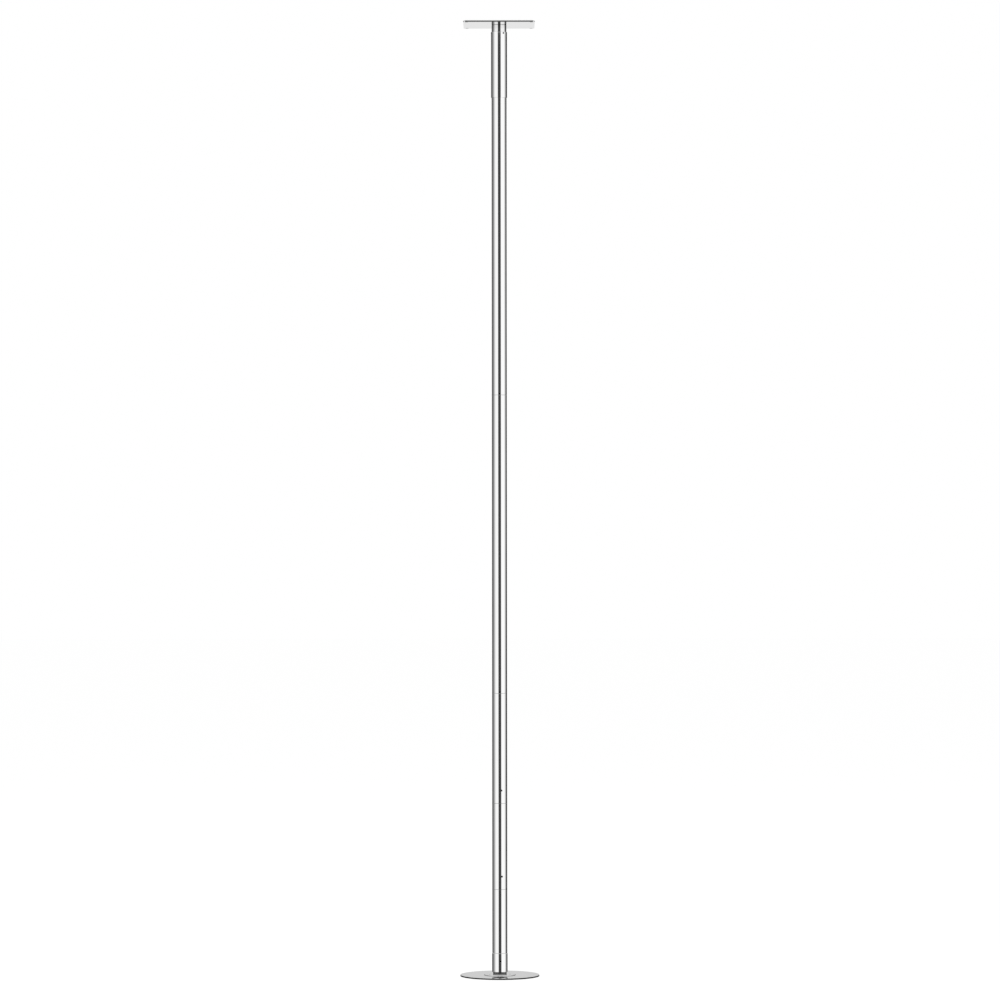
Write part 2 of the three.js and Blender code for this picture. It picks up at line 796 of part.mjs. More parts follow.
function buildPole() {
  const group = new THREE.Group();
  addMesh(
    group, 'short_extension_tube',
    poleTube(shortExtensionLength, tubeHole(spigotScrewDiameter, shaftScrewHeight, shaftScrewAngle)),
    chrome(), poleBottom);
  const shaftScrewTip = insertRadius - shaftHeadWall + fitGap;
  const shaftScrew = grubScrew(spigotScrewDiameter, shaftScrewTip, tubeRadius - spigotScrewSunk);
  addMesh(
    group, 'shaft_screw', shaftScrew, darkSteel(), poleBottom + shaftScrewHeight, frontTurn(shaftScrewAngle));

  addSpigot(group, 'short', middleBottom, shortSpigotScrewAngle);
  addMesh(
    group, 'middle_extension_tube',
    poleTube(middleExtensionLength, tubeHole(spigotScrewDiameter, spigotScrewRise, shortSpigotScrewAngle)),
    chrome(), middleBottom);
  addSpigot(group, 'middle', longBottom, middleSpigotScrewAngle);
  addMesh(
    group, 'long_extension_tube',
    poleTube(longExtensionLength, tubeHole(spigotScrewDiameter, spigotScrewRise, middleSpigotScrewAngle)),
    chrome(), longBottom);

  const keyHole = () => tubeHole(joinerHoleDiameter - 2 * fitGap, joinerScrewRise, 0);
  addJoiner(group, 'lower', lowerBottom);
  addMesh(group, 'lower_main_tube', poleTube(lowerTubeLength, keyHole()), chrome(), lowerBottom);
  addJoiner(group, 'upper', upperBottom);
  const clampHoles = clampScrewDrops.map((drop, i) =>
    tubeHole(clampScrewDiameter, upperTubeLength - drop, clampAngle(i)));
  addMesh(
    group, 'upper_main_tube', poleTube(upperTubeLength, keyHole(), ...clampHoles), chrome(), upperBottom);
  return group;
}

// The two clamp screws face opposite ways
function clampAngle(index) {
  return index * clampScrewTurn;
}

// Telescoping top post

function guideCollar() {
  const collar = ring(postRadius + fitGap, insertRadius, 0, guideCollarLength);
  const holes = clampScrewDrops.map((drop, i) => radialHole(
    clampScrewDiameter / 2 + fitGap, postRadius, tubeBore, guideCollarLength - drop, clampAngle(i)));
  return cut(collar, ...holes);
}

function buildTopPost() {
  const group = new THREE.Group();
  addMesh(group, 'guide_collar', guideCollar(), brass(), upperTop - guideCollarLength);
  clampScrewDrops.forEach((drop, i) => {
    const screw = grubScrew(clampScrewDiameter, postRadius + fitGap, tubeRadius - clampScrewSunk);
    addMesh(
      group, `post_clamp_screw_${i + 1}`, screw, darkSteel(), upperTop - drop, frontTurn(clampAngle(i)));
  });
  addMesh(
    group, 'top_post', ring(postBore, postRadius, 0, postTop - postBottom), brushedSteel(), postBottom);
  const bush = ring(postRadius + faceGap, insertRadius, 0, footBushLength);
  addMesh(group, 'post_foot_bush', bush, brass(), postBottom);
  return group;
}

// Swivel head

// The neck turns with the pole: a land in its middle stands between the thrust and the ball bearing
function neckHousing() {
  const at = (height) => height - neckBottom;
  const thrustPocket = headThrustDiameter / 2 + fitGap;
  const bearingPocket = headBearingDiameter / 2 + fitGap;
  const landBore = studRadius + neckLandClearance;
  return turned([
    [bearingPocket, 0],
    [neckRadius - neckChamfer, 0],
    [neckRadius, neckChamfer],
    [neckRadius, neckLength - neckChamfer],
    [neckRadius - neckChamfer, neckLength],
    [thrustPocket, neckLength],
    [thrustPocket, at(neckLandTop)],
    [landBore, at(neckLandTop)],
    [landBore, at(neckLandBottom)],
    [bearingPocket, at(neckLandBottom)],
  ], tubeSides);
}

// The stud hangs from the ceiling plate: a collar above the thrust bearing, then a slim journal
function ceilingStud() {
  const at = (height) => height - studBottom;
  const collarRadius = headThrustDiameter / 2 - fitGap;
  const top = ceilingBottom - faceGap;
  const body = turned([
    [0, 0],
    [studRadius - studGrooveDepth, 0],
    [studRadius, studGrooveDepth],
    [studRadius, at(studGrooveBottom)],
    [studRadius - studGrooveDepth, at(studGrooveBottom)],
    [studRadius - studGrooveDepth, at(studGrooveTop)],
    [studRadius, at(studGrooveTop)],
    [studRadius, at(ceilingBottom - studCollarHeight)],
    [collarRadius, at(ceilingBottom - studCollarHeight)],
    [collarRadius, at(top)],
    [0, at(top)],
  ], ringSides);
  const boltHole = disc(
    centreBoltDiameter / 2 + fitGap, at(top) - centreBoltReach - fitGap, at(top) + cutOverrun, screwSides);
  return cut(body, boltHole);
}

function roundedSquare(side, radius) {
  const half = side / 2;
  const inner = half - radius;
  const outline = new THREE.Shape();
  outline.absarc(inner, inner, radius, 0, Math.PI / 2, false);
  outline.absarc(-inner, inner, radius, Math.PI / 2, Math.PI, false);
  outline.absarc(-inner, -inner, radius, Math.PI, Math.PI * 3 / 2, false);
  outline.absarc(inner, -inner, radius, Math.PI * 3 / 2, Math.PI * 2, false);
  return outline;
}

function ceilingHolePlaces() {
  const reach = ceilingPlateSide / 2 - ceilingHoleInset;
  return [[1, 1], [-1, 1], [-1, -1], [1, -1]].map(([sx, sy]) => ({ x: sx * reach, y: sy * reach }));
}

function flatSquare(side, radius, thickness) {
  return new THREE.ExtrudeGeometry(roundedSquare(side, radius), {
    depth: thickness, bevelEnabled: false, curveSegments: cornerSides,
  });
}

function ceilingPlate() {
  const plate = flatSquare(ceilingPlateSide, ceilingCornerRadius, ceilingPlateThickness);
  const shank = ceilingHoleDiameter / 2;
  const head = ceilingHoleHead / 2;
  const holes = ceilingHolePlaces().map(({ x, y }) => placed(turned([
    [0, -cutOverrun],
    [head + cutOverrun, -cutOverrun],
    [shank, head - shank],
    [shank, ceilingPlateThickness + cutOverrun],
    [0, ceilingPlateThickness + cutOverrun],
  ], screwSides), x, y, 0));
  const sink = countersink(centreBoltDiameter, centreBoltHead(ceilingPlateThickness), ceilingPlateThickness);
  sink.rotateX(Math.PI);
  sink.translate(0, 0, ceilingPlateThickness);
  return cut(plate, sink, ...holes);
}

function ceilingPad() {
  const side = ceilingPlateSide - 2 * ceilingPadInset;
  const pad = flatSquare(side, ceilingCornerRadius, ceilingPadThickness);
  const holes = ceilingHolePlaces().map(({ x, y }) => placed(
    disc(ceilingHoleDiameter / 2, -cutOverrun, ceilingPadThickness + cutOverrun, screwSides), x, y, 0));
  return cut(pad, ...holes);
}

function buildHead() {
  const group = new THREE.Group();
  addMesh(group, 'neck_housing', neckHousing(), chrome(), neckBottom);

  const thrust = [headThrustBore / 2, headThrustDiameter / 2];
  addMesh(group, 'head_thrust_lower_washer', thrustWasher(...thrust), bearingSteel(), headThrustBottom);
  const middle = headThrustBottom + washerThickness + thrustFaceOffset;
  addMesh(group, 'head_thrust_cage', thrustCage(...thrust), brass(), middle);
  const upper = addMesh(
    group, 'head_thrust_upper_washer', thrustWasher(...thrust), bearingSteel(), headThrustTop);
  upper.rotation.x = Math.PI;

  const bearing = [headBearingBore / 2, headBearingDiameter / 2, headBearingWidth];
  addMesh(group, 'head_bearing_outer_ring', bearingOuterRing(...bearing), bearingSteel(), headBearingBottom);
  addMesh(group, 'head_bearing_inner_ring', bearingInnerRing(...bearing), bearingSteel(), headBearingBottom);
  const cageHeight = headBearingBottom + headBearingWidth / 2;
  addMesh(group, 'head_bearing_cage', bearingCage(...bearing), brass(), cageHeight);

  const clipInner = studRadius - studGrooveDepth + fitGap;
  const clip = openClip(clipInner, clipInner + clipWidth, clipThickness);
  addMesh(group, 'stud_clip', clip, darkSteel(), studGrooveBottom + faceGap, Math.PI / 2);

  addMesh(group, 'ceiling_stud', ceilingStud(), brushedSteel(), studBottom);
  return group;
}

function buildCeiling() {
  const group = new THREE.Group();
  const top = ceilingBottom + ceilingPlateThickness;
  addMesh(group, 'ceiling_plate', ceilingPlate(), polishedSteel(), ceilingBottom);
  const head = centreBoltHead(ceilingPlateThickness);
  const bolt = countersunkScrew(centreBoltDiameter, head, ceilingPlateThickness - head + centreBoltReach);
  const mesh = addMesh(group, 'stud_bolt', bolt, darkSteel(), top);
  mesh.rotation.x = Math.PI;
  addMesh(group, 'ceiling_pad', ceilingPad(), rubber(), top + faceGap);
  return group;
}

// Cover sleeve

function sleeveScrewTurn(index) {
  return sleeveScrewAngle + index * 360 / sleeveScrewCount;
}

function coverSleeve() {
  const tube = chamferedRing(sleeveBore, sleeveRadius, 0, sleeveLength, seamChamfer);
  const holes = Array.from({ length: sleeveScrewCount }, (_, i) => radialHole(
    sleeveScrewDiameter / 2 + fitGap, sleeveBore - cutOverrun, sleeveRadius + cutOverrun,
    sleeveLength - sleeveScrewDrop, sleeveScrewTurn(i)));
  return cut(tube, ...holes);
}

function buildSleeve() {
  const group = new THREE.Group();
  addMesh(group, 'cover_sleeve', coverSleeve(), chrome(), sleeveBottom);
  for (let i = 0; i < sleeveScrewCount; i += 1) {
    const screw = grubScrew(sleeveScrewDiameter, sleeveBore, sleeveRadius - sleeveScrewSunk);
    addMesh(
      group, `sleeve_screw_${i + 1}`, screw, darkSteel(), sleeveTop - sleeveScrewDrop,
      frontTurn(sleeveScrewTurn(i)));
  }
  return group;
}

const dancePole = new THREE.Group();
dancePole.name = 'dance_pole';
dancePole.add(
  buildFloorBase(), buildFoot(), buildPole(), buildTopPost(), buildHead(), buildCeiling(), buildSleeve());

export default dancePole;
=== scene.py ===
"""A chromed dance pole between floor and ceiling, finished around its frame.

Every piece is turned, cut and polished at the place that the frame gives it.
Lengths are metres, +Z is up and the front of the pole faces -Y.
"""

import json
import logging
import math
from dataclasses import dataclass
from enum import Enum

import bmesh
import bpy
from mathutils import Matrix, Vector


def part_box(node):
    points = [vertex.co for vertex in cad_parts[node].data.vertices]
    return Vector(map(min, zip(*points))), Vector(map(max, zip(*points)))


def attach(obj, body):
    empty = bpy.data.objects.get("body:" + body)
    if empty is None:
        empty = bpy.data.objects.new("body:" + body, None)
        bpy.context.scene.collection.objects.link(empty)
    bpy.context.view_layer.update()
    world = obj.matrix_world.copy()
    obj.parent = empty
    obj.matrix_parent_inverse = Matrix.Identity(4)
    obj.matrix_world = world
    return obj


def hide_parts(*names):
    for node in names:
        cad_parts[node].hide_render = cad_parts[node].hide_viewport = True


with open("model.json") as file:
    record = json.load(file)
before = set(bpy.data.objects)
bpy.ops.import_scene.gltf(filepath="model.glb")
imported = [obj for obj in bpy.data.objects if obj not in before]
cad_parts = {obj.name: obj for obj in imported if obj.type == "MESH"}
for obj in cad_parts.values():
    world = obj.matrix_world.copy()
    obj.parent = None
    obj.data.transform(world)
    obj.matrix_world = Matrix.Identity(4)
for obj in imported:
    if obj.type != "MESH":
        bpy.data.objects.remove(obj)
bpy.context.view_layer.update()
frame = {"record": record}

log = logging.getLogger("dance_pole")

MM = 0.001
FULL_TURN = 2 * math.pi
WELD = 1e-7
THREAD_WELD = 1e-6
OVERRUN = 1 * MM
FIT = 0.3 * MM
TURNED_SIDES = 192
BALL_SIDES = 32
HOLE_SIDES = 48
HEX_SIDES = 6
EDGE_SEGMENTS = 3
SHARP_ANGLE = math.radians(32)
ARC_STEPS = 10
LEVEL_POINTINESS = 0.5
FACE_GAP = 0.05 * MM
KEYWAY_WIDTH = 5 * MM
KEYWAY_DEPTH = 2.5 * MM
CLIP_WIDTH = 3.2 * MM
SCREW_TIP_SHARE = 0.18
SOCKET_DEPTH_SHARE = 0.6
SOCKET_ACROSS_SHARE = 0.55
SUNK_SOCKET_SHARE = 0.5
SINK_HEAD_SHARE = 2.0
TUBES = (
    "short_extension_tube", "middle_extension_tube", "long_extension_tube", "lower_main_tube",
    "upper_main_tube")

BODY_OF_NODE = {
    node: body
    for body, nodes in frame["record"]["behaviour"]["bodies"].items()
    for node in nodes
}

Outline = list[tuple[float, float]]


class Slot(Enum):
    """The finishes that the pole is made in, by their slot in the record."""

    CHROME_TUBE = "chrome_tube"
    POLISHED_PLATE = "polished_plate"
    MACHINED_STEEL = "machined_steel"
    BEARING_STEEL = "bearing_steel"
    BLACK_STEEL = "black_steel"
    CAGE_BRASS = "cage_brass"
    BLACK_RUBBER = "black_rubber"


class Grain(Enum):
    """Which way the marks of the tool run on a surface."""

    ROUND_THE_POLE = "round"
    ALONG_X = "straight"


def grey(level: float) -> tuple[float, float, float, float]:
    """Give a neutral tone as an opaque colour."""
    return (level, level, level, 1.0)


class ShaderTree:
    """A shader node tree under construction."""

    def __init__(self, tree: bpy.types.NodeTree) -> None:
        """Start on a tree.

        Args:
            tree: The tree that the nodes go into.
        """
        self.tree = tree

    def node(
        self, kind: str, feeds: dict[int | str, object] | None = None, **settings: object,
    ) -> bpy.types.Node:
        """Add a node.

        Args:
            kind: The node's type name, without the prefix that all of them have.
            feeds: What goes into its inputs.
            **settings: Attributes to set on it before that.

        Returns:
            The new node.
        """
        made = self.tree.nodes.new(f"ShaderNode{kind}")
        for label, value in settings.items():
            setattr(made, label, value)
        self.feed(made, feeds or {})
        return made

    def feed(self, node: bpy.types.Node, feeds: dict[int | str, object]) -> None:
        """Fill a node's inputs.

        Args:
            node: The node.
            feeds: What goes into each input, either another node's output or a value.
        """
        for label, source in feeds.items():
            if isinstance(source, bpy.types.NodeSocket):
                self.tree.links.new(source, node.inputs[label])
            else:
                node.inputs[label].default_value = source


class NodeGroup(ShaderTree):
    """A shader node group under construction, with its named sockets."""

    def __init__(self, name: str, inputs: dict[str, float], output: str) -> None:
        """Start a group with a vector input, number inputs and one number output.

        Args:
            name: The group's name.
            inputs: Each number input with its default value.
            output: The output's name.
        """
        super().__init__(bpy.data.node_groups.new(name, "ShaderNodeTree"))
        interface = self.tree.interface
        interface.new_socket("Vector", in_out="INPUT", socket_type="NodeSocketVector")
        for label, value in inputs.items():
            socket = interface.new_socket(label, in_out="INPUT", socket_type="NodeSocketFloat")
            socket.default_value = value
        interface.new_socket(output, in_out="OUTPUT", socket_type="NodeSocketFloat")
        self.given = self.tree.nodes.new("NodeGroupInput").outputs

    def finished(self, result: bpy.types.NodeSocket) -> bpy.types.NodeTree:
        """Close the group.

        Args:
            result: What its output gives.

        Returns:
            The finished group.
        """
        self.feed(self.tree.nodes.new("NodeGroupOutput"), {0: result})
        return self.tree


def handling_group() -> bpy.types.NodeTree:
    """Build the soft, uneven film that hands and cloths leave on polished metal.

    Returns:
        A group that puts out a mask from 0, clean, to 1, dull.
    """
    group = NodeGroup("handling_marks", {"Size": 30.0, "Cover": 0.5}, "Mask")
    wide = group.node("TexNoise", {
        "Vector": group.given["Vector"], "Scale": group.given["Size"],
        "Detail": 5.0, "Roughness": 0.62, "Distortion": 0.8})
    threshold = group.node("Math", {0: 1.0, 1: group.given["Cover"]}, operation="SUBTRACT")
    contrast = group.node("MapRange", {
        "Value": wide.outputs["Fac"], "From Min": threshold.outputs[0], "From Max": 0.85,
    }, interpolation_type="SMOOTHSTEP")
    return group.finished(contrast.outputs["Result"])


def tool_mark_group(grain: Grain) -> bpy.types.NodeTree:
    """Build the fine lines that a lathe or a polishing belt leaves.

    Args:
        grain: Which way the lines run.

    Returns:
        A group that puts out the height of the lines, from 0 to 1.
    """
    group = NodeGroup(f"tool_marks_{grain.value}", {"Fineness": 4000.0}, "Height")
    parts = group.node("SeparateXYZ", {"Vector": group.given["Vector"]}).outputs
    if grain is Grain.ROUND_THE_POLE:
        flat = group.node("CombineXYZ", {"X": parts["X"], "Y": parts["Y"]})
        radius = group.node("VectorMath", {0: flat.outputs["Vector"]}, operation="LENGTH")
        across = {"X": radius.outputs["Value"], "Z": parts["Z"]}
    else:
        across = {"Y": parts["Y"], "Z": parts["Z"]}
    lines = group.node("TexNoise", {
        "Vector": group.node("CombineXYZ", across).outputs["Vector"],
        "Scale": group.given["Fineness"], "Detail": 3.0, "Roughness": 0.7})
    return group.finished(lines.outputs["Fac"])


def edge_wear_group() -> bpy.types.NodeTree:
    """Build the rubbing that bares the metal along edges.

    Returns:
        A group that puts out a mask from 0, sound, to 1, worn.
    """
    group = NodeGroup("edge_wear", {"Reach": 0.04, "Breakup": 900.0}, "Mask")
    patches = group.node("TexNoise", {
        "Vector": group.given["Vector"], "Scale": group.given["Breakup"], "Detail": 4.0})
    limit = group.node(
        "Math", {0: LEVEL_POINTINESS, 1: group.given["Reach"]}, operation="ADD")
    edge = group.node("MapRange", {
        "Value": group.node("NewGeometry").outputs["Pointiness"],
        "From Min": LEVEL_POINTINESS, "From Max": limit.outputs[0],
    }, interpolation_type="SMOOTHSTEP")
    broken = group.node(
        "Math", {0: edge.outputs["Result"], 1: patches.outputs["Fac"]}, operation="MULTIPLY")
    return group.finished(broken.outputs[0])


class Workshop:
    """The shader groups that the finishes share, each built once."""

    def __init__(self) -> None:
        """Build every group."""
        self.handling = handling_group()
        self.tool_marks = {grain: tool_mark_group(grain) for grain in Grain}
        self.edge_wear = edge_wear_group()


@dataclass(frozen=True)
class Finish:
    """One finish of the pole, from its slot to its surface."""

    name: str
    slot: Slot
    colour: tuple[float, float, float]
    worn_colour: tuple[float, float, float]
    polish: float
    dullness: float
    film_size: float
    film_cover: float
    line_fineness: float
    line_depth: float
    line_contrast: float
    wear_reach: float
    wear_breakup: float
    grazing_tint: float = 1.0
    metallic: float = 1.0
    grain: Grain = Grain.ROUND_THE_POLE

    def build(self, workshop: Workshop) -> bpy.types.Material:
        """Make the material.

        Args:
            workshop: The shared shader groups.

        Returns:
            The finished material.
        """
        material = bpy.data.materials.new(self.name)
        material.use_nodes = True
        material.diffuse_color = (*self.colour, 1.0)
        tree = ShaderTree(material.node_tree)
        place = tree.node("TexCoord").outputs["Object"]
        film = tree.node("Group", {
            "Vector": place, "Size": self.film_size, "Cover": self.film_cover,
        }, node_tree=workshop.handling)
        marks = tree.node("Group", {
            "Vector": place, "Fineness": self.line_fineness,
        }, node_tree=workshop.tool_marks[self.grain]).outputs["Height"]
        wear = tree.node("Group", {
            "Vector": place, "Reach": self.wear_reach, "Breakup": self.wear_breakup,
        }, node_tree=workshop.edge_wear)
        dull = tree.node("MapRange", {
            "Value": film.outputs["Mask"], "To Min": self.polish, "To Max": self.dullness})
        shade = 1.0 - self.line_contrast
        lined = tree.node("Mix", {
            "Factor": marks, "A": (*self.colour, 1.0),
            "B": (*(part * shade for part in self.colour), 1.0)}, data_type="RGBA")
        worn = tree.node("Mix", {
            "Factor": wear.outputs["Mask"], "A": lined.outputs["Result"],
            "B": (*self.worn_colour, 1.0)}, data_type="RGBA")
        bump = tree.node("Bump", {
            "Strength": 1.0, "Distance": self.line_depth, "Height": marks})
        tree.feed(material.node_tree.nodes["Principled BSDF"], {
            "Metallic": self.metallic, "Specular Tint": grey(self.grazing_tint),
            "Roughness": dull.outputs["Result"], "Base Color": worn.outputs["Result"],
            "Normal": bump.outputs["Normal"]})
        return material


FINISHES = {finish.name: finish for finish in (
    Finish(
        name="tube_chrome", slot=Slot.CHROME_TUBE,
        colour=(0.94, 0.94, 0.94), worn_colour=(0.95, 0.95, 0.95),
        polish=0.03, dullness=0.07, film_size=14.0, film_cover=0.55,
        line_fineness=900.0, line_depth=0.0000002, line_contrast=0.015,
        wear_reach=0.2, wear_breakup=600.0),
    # A darker copy of the tube chrome with dimmer edges: painted shade for the neck's shade under
    # the ceiling plate.
    Finish(
        name="neck_chrome_painted_shade", slot=Slot.CHROME_TUBE,
        colour=(0.86, 0.86, 0.86), worn_colour=(0.9, 0.9, 0.9), grazing_tint=0.05,
        polish=0.03, dullness=0.07, film_size=14.0, film_cover=0.55,
        line_fineness=900.0, line_depth=0.0000002, line_contrast=0.015,
        wear_reach=0.2, wear_breakup=600.0),
    Finish(
        name="plate_polish", slot=Slot.POLISHED_PLATE,
        colour=(0.74, 0.74, 0.74), worn_colour=(0.86, 0.86, 0.86), grazing_tint=0.76,
        polish=0.03, dullness=0.06, film_size=22.0, film_cover=0.6,
        line_fineness=1600.0, line_depth=0.0000002, line_contrast=0.05,
        wear_reach=0.15, wear_breakup=700.0),
    Finish(
        name="ceiling_polish", slot=Slot.POLISHED_PLATE,
        colour=(0.8, 0.8, 0.8), worn_colour=(0.86, 0.86, 0.86), grazing_tint=0.98,
        polish=0.03, dullness=0.06, film_size=20.0, film_cover=0.55,
        grain=Grain.ALONG_X, line_fineness=1600.0, line_depth=0.0000002, line_contrast=0.04,
        wear_reach=0.15, wear_breakup=700.0),
    # A darker copy of the plate polish: painted shade for the nut, which sits in shade under the
    # housing.
    Finish(
        name="nut_polish_painted_shade", slot=Slot.POLISHED_PLATE,
        colour=(0.4, 0.4, 0.4), worn_colour=(0.5, 0.5, 0.5), grazing_tint=0.5,
        polish=0.08, dullness=0.16, film_size=60.0, film_cover=0.6,
        line_fineness=2400.0, line_depth=0.0000005, line_contrast=0.1,
        wear_reach=0.15, wear_breakup=900.0),
    Finish(
        name="turned_steel", slot=Slot.MACHINED_STEEL,
        colour=(0.6, 0.61, 0.62), worn_colour=(0.74, 0.75, 0.76),
        polish=0.22, dullness=0.38, film_size=60.0, film_cover=0.6,
        line_fineness=5200.0, line_depth=0.000004, line_contrast=0.22,
        wear_reach=0.06, wear_breakup=900.0),
    Finish(
        name="ground_steel", slot=Slot.BEARING_STEEL,
        colour=(0.7, 0.71, 0.72), worn_colour=(0.8, 0.81, 0.82),
        polish=0.1, dullness=0.22, film_size=80.0, film_cover=0.5,
        line_fineness=9000.0, line_depth=0.000001, line_contrast=0.08,
        wear_reach=0.06, wear_breakup=1200.0),
    Finish(
        name="black_oxide", slot=Slot.BLACK_STEEL,
        colour=(0.02, 0.021, 0.023), worn_colour=(0.12, 0.118, 0.115), grazing_tint=0.5,
        metallic=0.85, polish=0.34, dullness=0.55, film_size=240.0, film_cover=0.55,
        line_fineness=6000.0, line_depth=0.000003, line_contrast=0.3,
        wear_reach=0.05, wear_breakup=2200.0),
    # Near-black matte finish that is painted shade: it darkens the grooves where tubes meet and the
    # countersink walls, where shade falls.
    Finish(
        name="painted_recess_shade", slot=Slot.BLACK_STEEL,
        colour=(0.008, 0.008, 0.009), worn_colour=(0.03, 0.03, 0.03), grazing_tint=0.3,
        metallic=0.0, polish=0.5, dullness=0.7, film_size=240.0, film_cover=0.55,
        line_fineness=6000.0, line_depth=0.000002, line_contrast=0.3,
        wear_reach=0.1, wear_breakup=2200.0),
    Finish(
        name="turned_brass", slot=Slot.CAGE_BRASS,
        colour=(0.66, 0.47, 0.2), worn_colour=(0.82, 0.66, 0.36),
        polish=0.2, dullness=0.4, film_size=90.0, film_cover=0.65,
        line_fineness=6400.0, line_depth=0.000003, line_contrast=0.2,
        wear_reach=0.06, wear_breakup=1200.0),
    Finish(
        name="pad_rubber", slot=Slot.BLACK_RUBBER,
        colour=(0.028, 0.028, 0.029), worn_colour=(0.09, 0.09, 0.09), metallic=0.0,
        polish=0.62, dullness=0.9, film_size=70.0, film_cover=0.7,
        grain=Grain.ALONG_X, line_fineness=2600.0, line_depth=0.00002, line_contrast=0.25,
        wear_reach=0.08, wear_breakup=500.0),
)}


@dataclass(frozen=True)
class Extent:
    """Where one node of the frame lies at rest."""

    low: Vector
    high: Vector

    @classmethod
    def of(cls, node: str) -> "Extent":
        """Read a node's box from the frame."""
        return cls(*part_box(node))

    @property
    def radius(self) -> float:
        """Half the node's width, which is its radius where it is round."""
        return (self.high.x - self.low.x) / 2

    @property
    def centre(self) -> Vector:
        """The middle of the node's box."""
        return (self.low + self.high) / 2

    @property
    def bearing_angle(self) -> float:
        """The turn from the pole's front to the node's middle, to the right."""
        return math.atan2(self.centre.x, -self.centre.y)

    @property
    def reach(self) -> float:
        """How far the node's middle lies from the pole's axis."""
        return math.hypot(self.centre.x, self.centre.y)


def spun(outline: Outline, sides: int = TURNED_SIDES) -> bmesh.types.BMesh:
    """Turn an outline about the Z axis.

    Args:
        outline: Points of radius and height. It closes on itself, or starts and ends on the axis.
        sides: How many sides the full turn has.

    Returns:
        The closed shape.
    """
    bm = bmesh.new()
    points = [bm.verts.new((radius, 0.0, height)) for radius, height in outline]
    lines = [bm.edges.new(pair) for pair in zip(points, points[1:])]
    if outline[0][0] > 0:
        lines.append(bm.edges.new((points[-1], points[0])))
    bmesh.ops.spin(
        bm, geom=points + lines, cent=(0, 0, 0), axis=(0, 0, 1), angle=FULL_TURN, steps=sides,
        use_merge=True)
    bmesh.ops.remove_doubles(bm, verts=bm.verts, dist=WELD)
    bmesh.ops.recalc_face_normals(bm, faces=bm.faces)
    return bm


def ring(inner: float, outer: float, low: float, high: float) -> Outline:
    """Give the outline of a plain ring."""
    return [(inner, low), (outer, low), (outer, high), (inner, high)]


def disc(radius: float, low: float, high: float) -> Outline:
    """Give the outline of a plain disc."""
    return [(0.0, low), (radius, low), (radius, high), (0.0, high)]


def arc(centre: tuple[float, float], radius: float, start: float, end: float) -> Outline:
    """Give the points of an arc.

    Args:
        centre: The arc's centre, as radius and height.
        radius: The arc's own radius.
        start: The first point's angle, in radians.
        end: The last point's angle, in radians.

    Returns:
        The points, ends included.
    """
    angles = [start + (end - start) * step / ARC_STEPS for step in range(ARC_STEPS + 1)]
    return [(centre[0] + radius * math.cos(a), centre[1] + radius * math.sin(a)) for a in angles]


def eased(bm: bmesh.types.BMesh, size: float, segments: int = EDGE_SEGMENTS) -> bmesh.types.BMesh:
    """Round every sharp edge of a shape.

    Args:
        bm: The shape.
        size: How far the rounding reaches from each edge.
        segments: How many faces round it.

    Returns:
        The same shape.
    """
    sharp = [e for e in bm.edges if e.is_manifold and e.calc_face_angle() > SHARP_ANGLE]
    bmesh.ops.bevel(
        bm, geom=sharp, offset=size, offset_type="OFFSET", segments=segments, profile=0.5,
        affect="EDGES", clamp_overlap=True, material=-1)
    return bm


def outwards(angle: float, height: float) -> Matrix:
    """Give the place of a piece that points away from the pole's axis.

    Args:
        angle: The turn from the pole's front, to the right, in radians.
        height: The height above the floor.

    Returns:
        The matrix that sends +Z to that direction, from the axis at that height.
    """
    direction = Vector((math.sin(angle), -math.cos(angle), 0))
    turn = direction.to_track_quat("Z", "Y").to_matrix().to_4x4()
    return Matrix.Translation((0, 0, height)) @ turn


def solid(name: str, bm: bmesh.types.BMesh) -> bpy.types.Object:
    """Turn a shape into an object at the origin, with its place in its mesh.

    Args:
        name: The object's name.
        bm: The shape, already in place, which is freed.

    Returns:
        The object.
    """
    mesh = bpy.data.meshes.new(name)
    bm.to_mesh(mesh)
    bm.free()
    made = bpy.data.objects.new(name, mesh)
    bpy.context.scene.collection.objects.link(made)
    return made


def combined(target: bpy.types.Object, tool: bpy.types.Object, operation: str) -> bpy.types.Object:
    """Cut, join or trim an object with another, which is used up.

    Args:
        target: The object that is changed.
        tool: The object that changes it.
        operation: DIFFERENCE, UNION or INTERSECT.

    Returns:
        The changed object.
    """
    modifier = target.modifiers.new("combined", "BOOLEAN")
    modifier.operation = operation
    modifier.solver = "EXACT"
    modifier.object = tool
    shown = target.evaluated_get(bpy.context.evaluated_depsgraph_get())
    mesh = bpy.data.meshes.new_from_object(shown)
    target.modifiers.clear()
    spent = target.data
    target.data = mesh
    bpy.data.meshes.remove(spent)
    bpy.data.objects.remove(tool)
    return target


def drilled(target: bpy.types.Object, *cutters: bmesh.types.BMesh) -> bpy.types.Object:
    """Cut one or more shapes out of an object.

    Args:
        target: The object.
        *cutters: The shapes, already in place.

    Returns:
        The cut object.
    """
    for cutter in cutters:
        combined(target, solid("cutter", cutter), "DIFFERENCE")
    return target


def screw_hole(
    screw: Extent, radius: float, inner: float, outer: float, flare: float = 0.0,
) -> bmesh.types.BMesh:
    """Make the cutter of a hole that points away from the pole's axis, at a screw's place.

    Args:
        screw: Where the screw lies.
        radius: The hole's radius.
        inner: Where it starts, from the axis.
        outer: The radius of the surface that it comes out of.
        flare: How far its mouth is eased.

    Returns:
        The cutter.
    """
    mouth = radius + flare + OVERRUN if flare > 0 else radius
    bm = spun([
        (0.0, inner), (radius, inner), (radius, outer - flare), (mouth, outer + OVERRUN),
        (0.0, outer + OVERRUN)], HOLE_SIDES)
    bm.transform(outwards(screw.bearing_angle, screw.centre.z))
    return bm


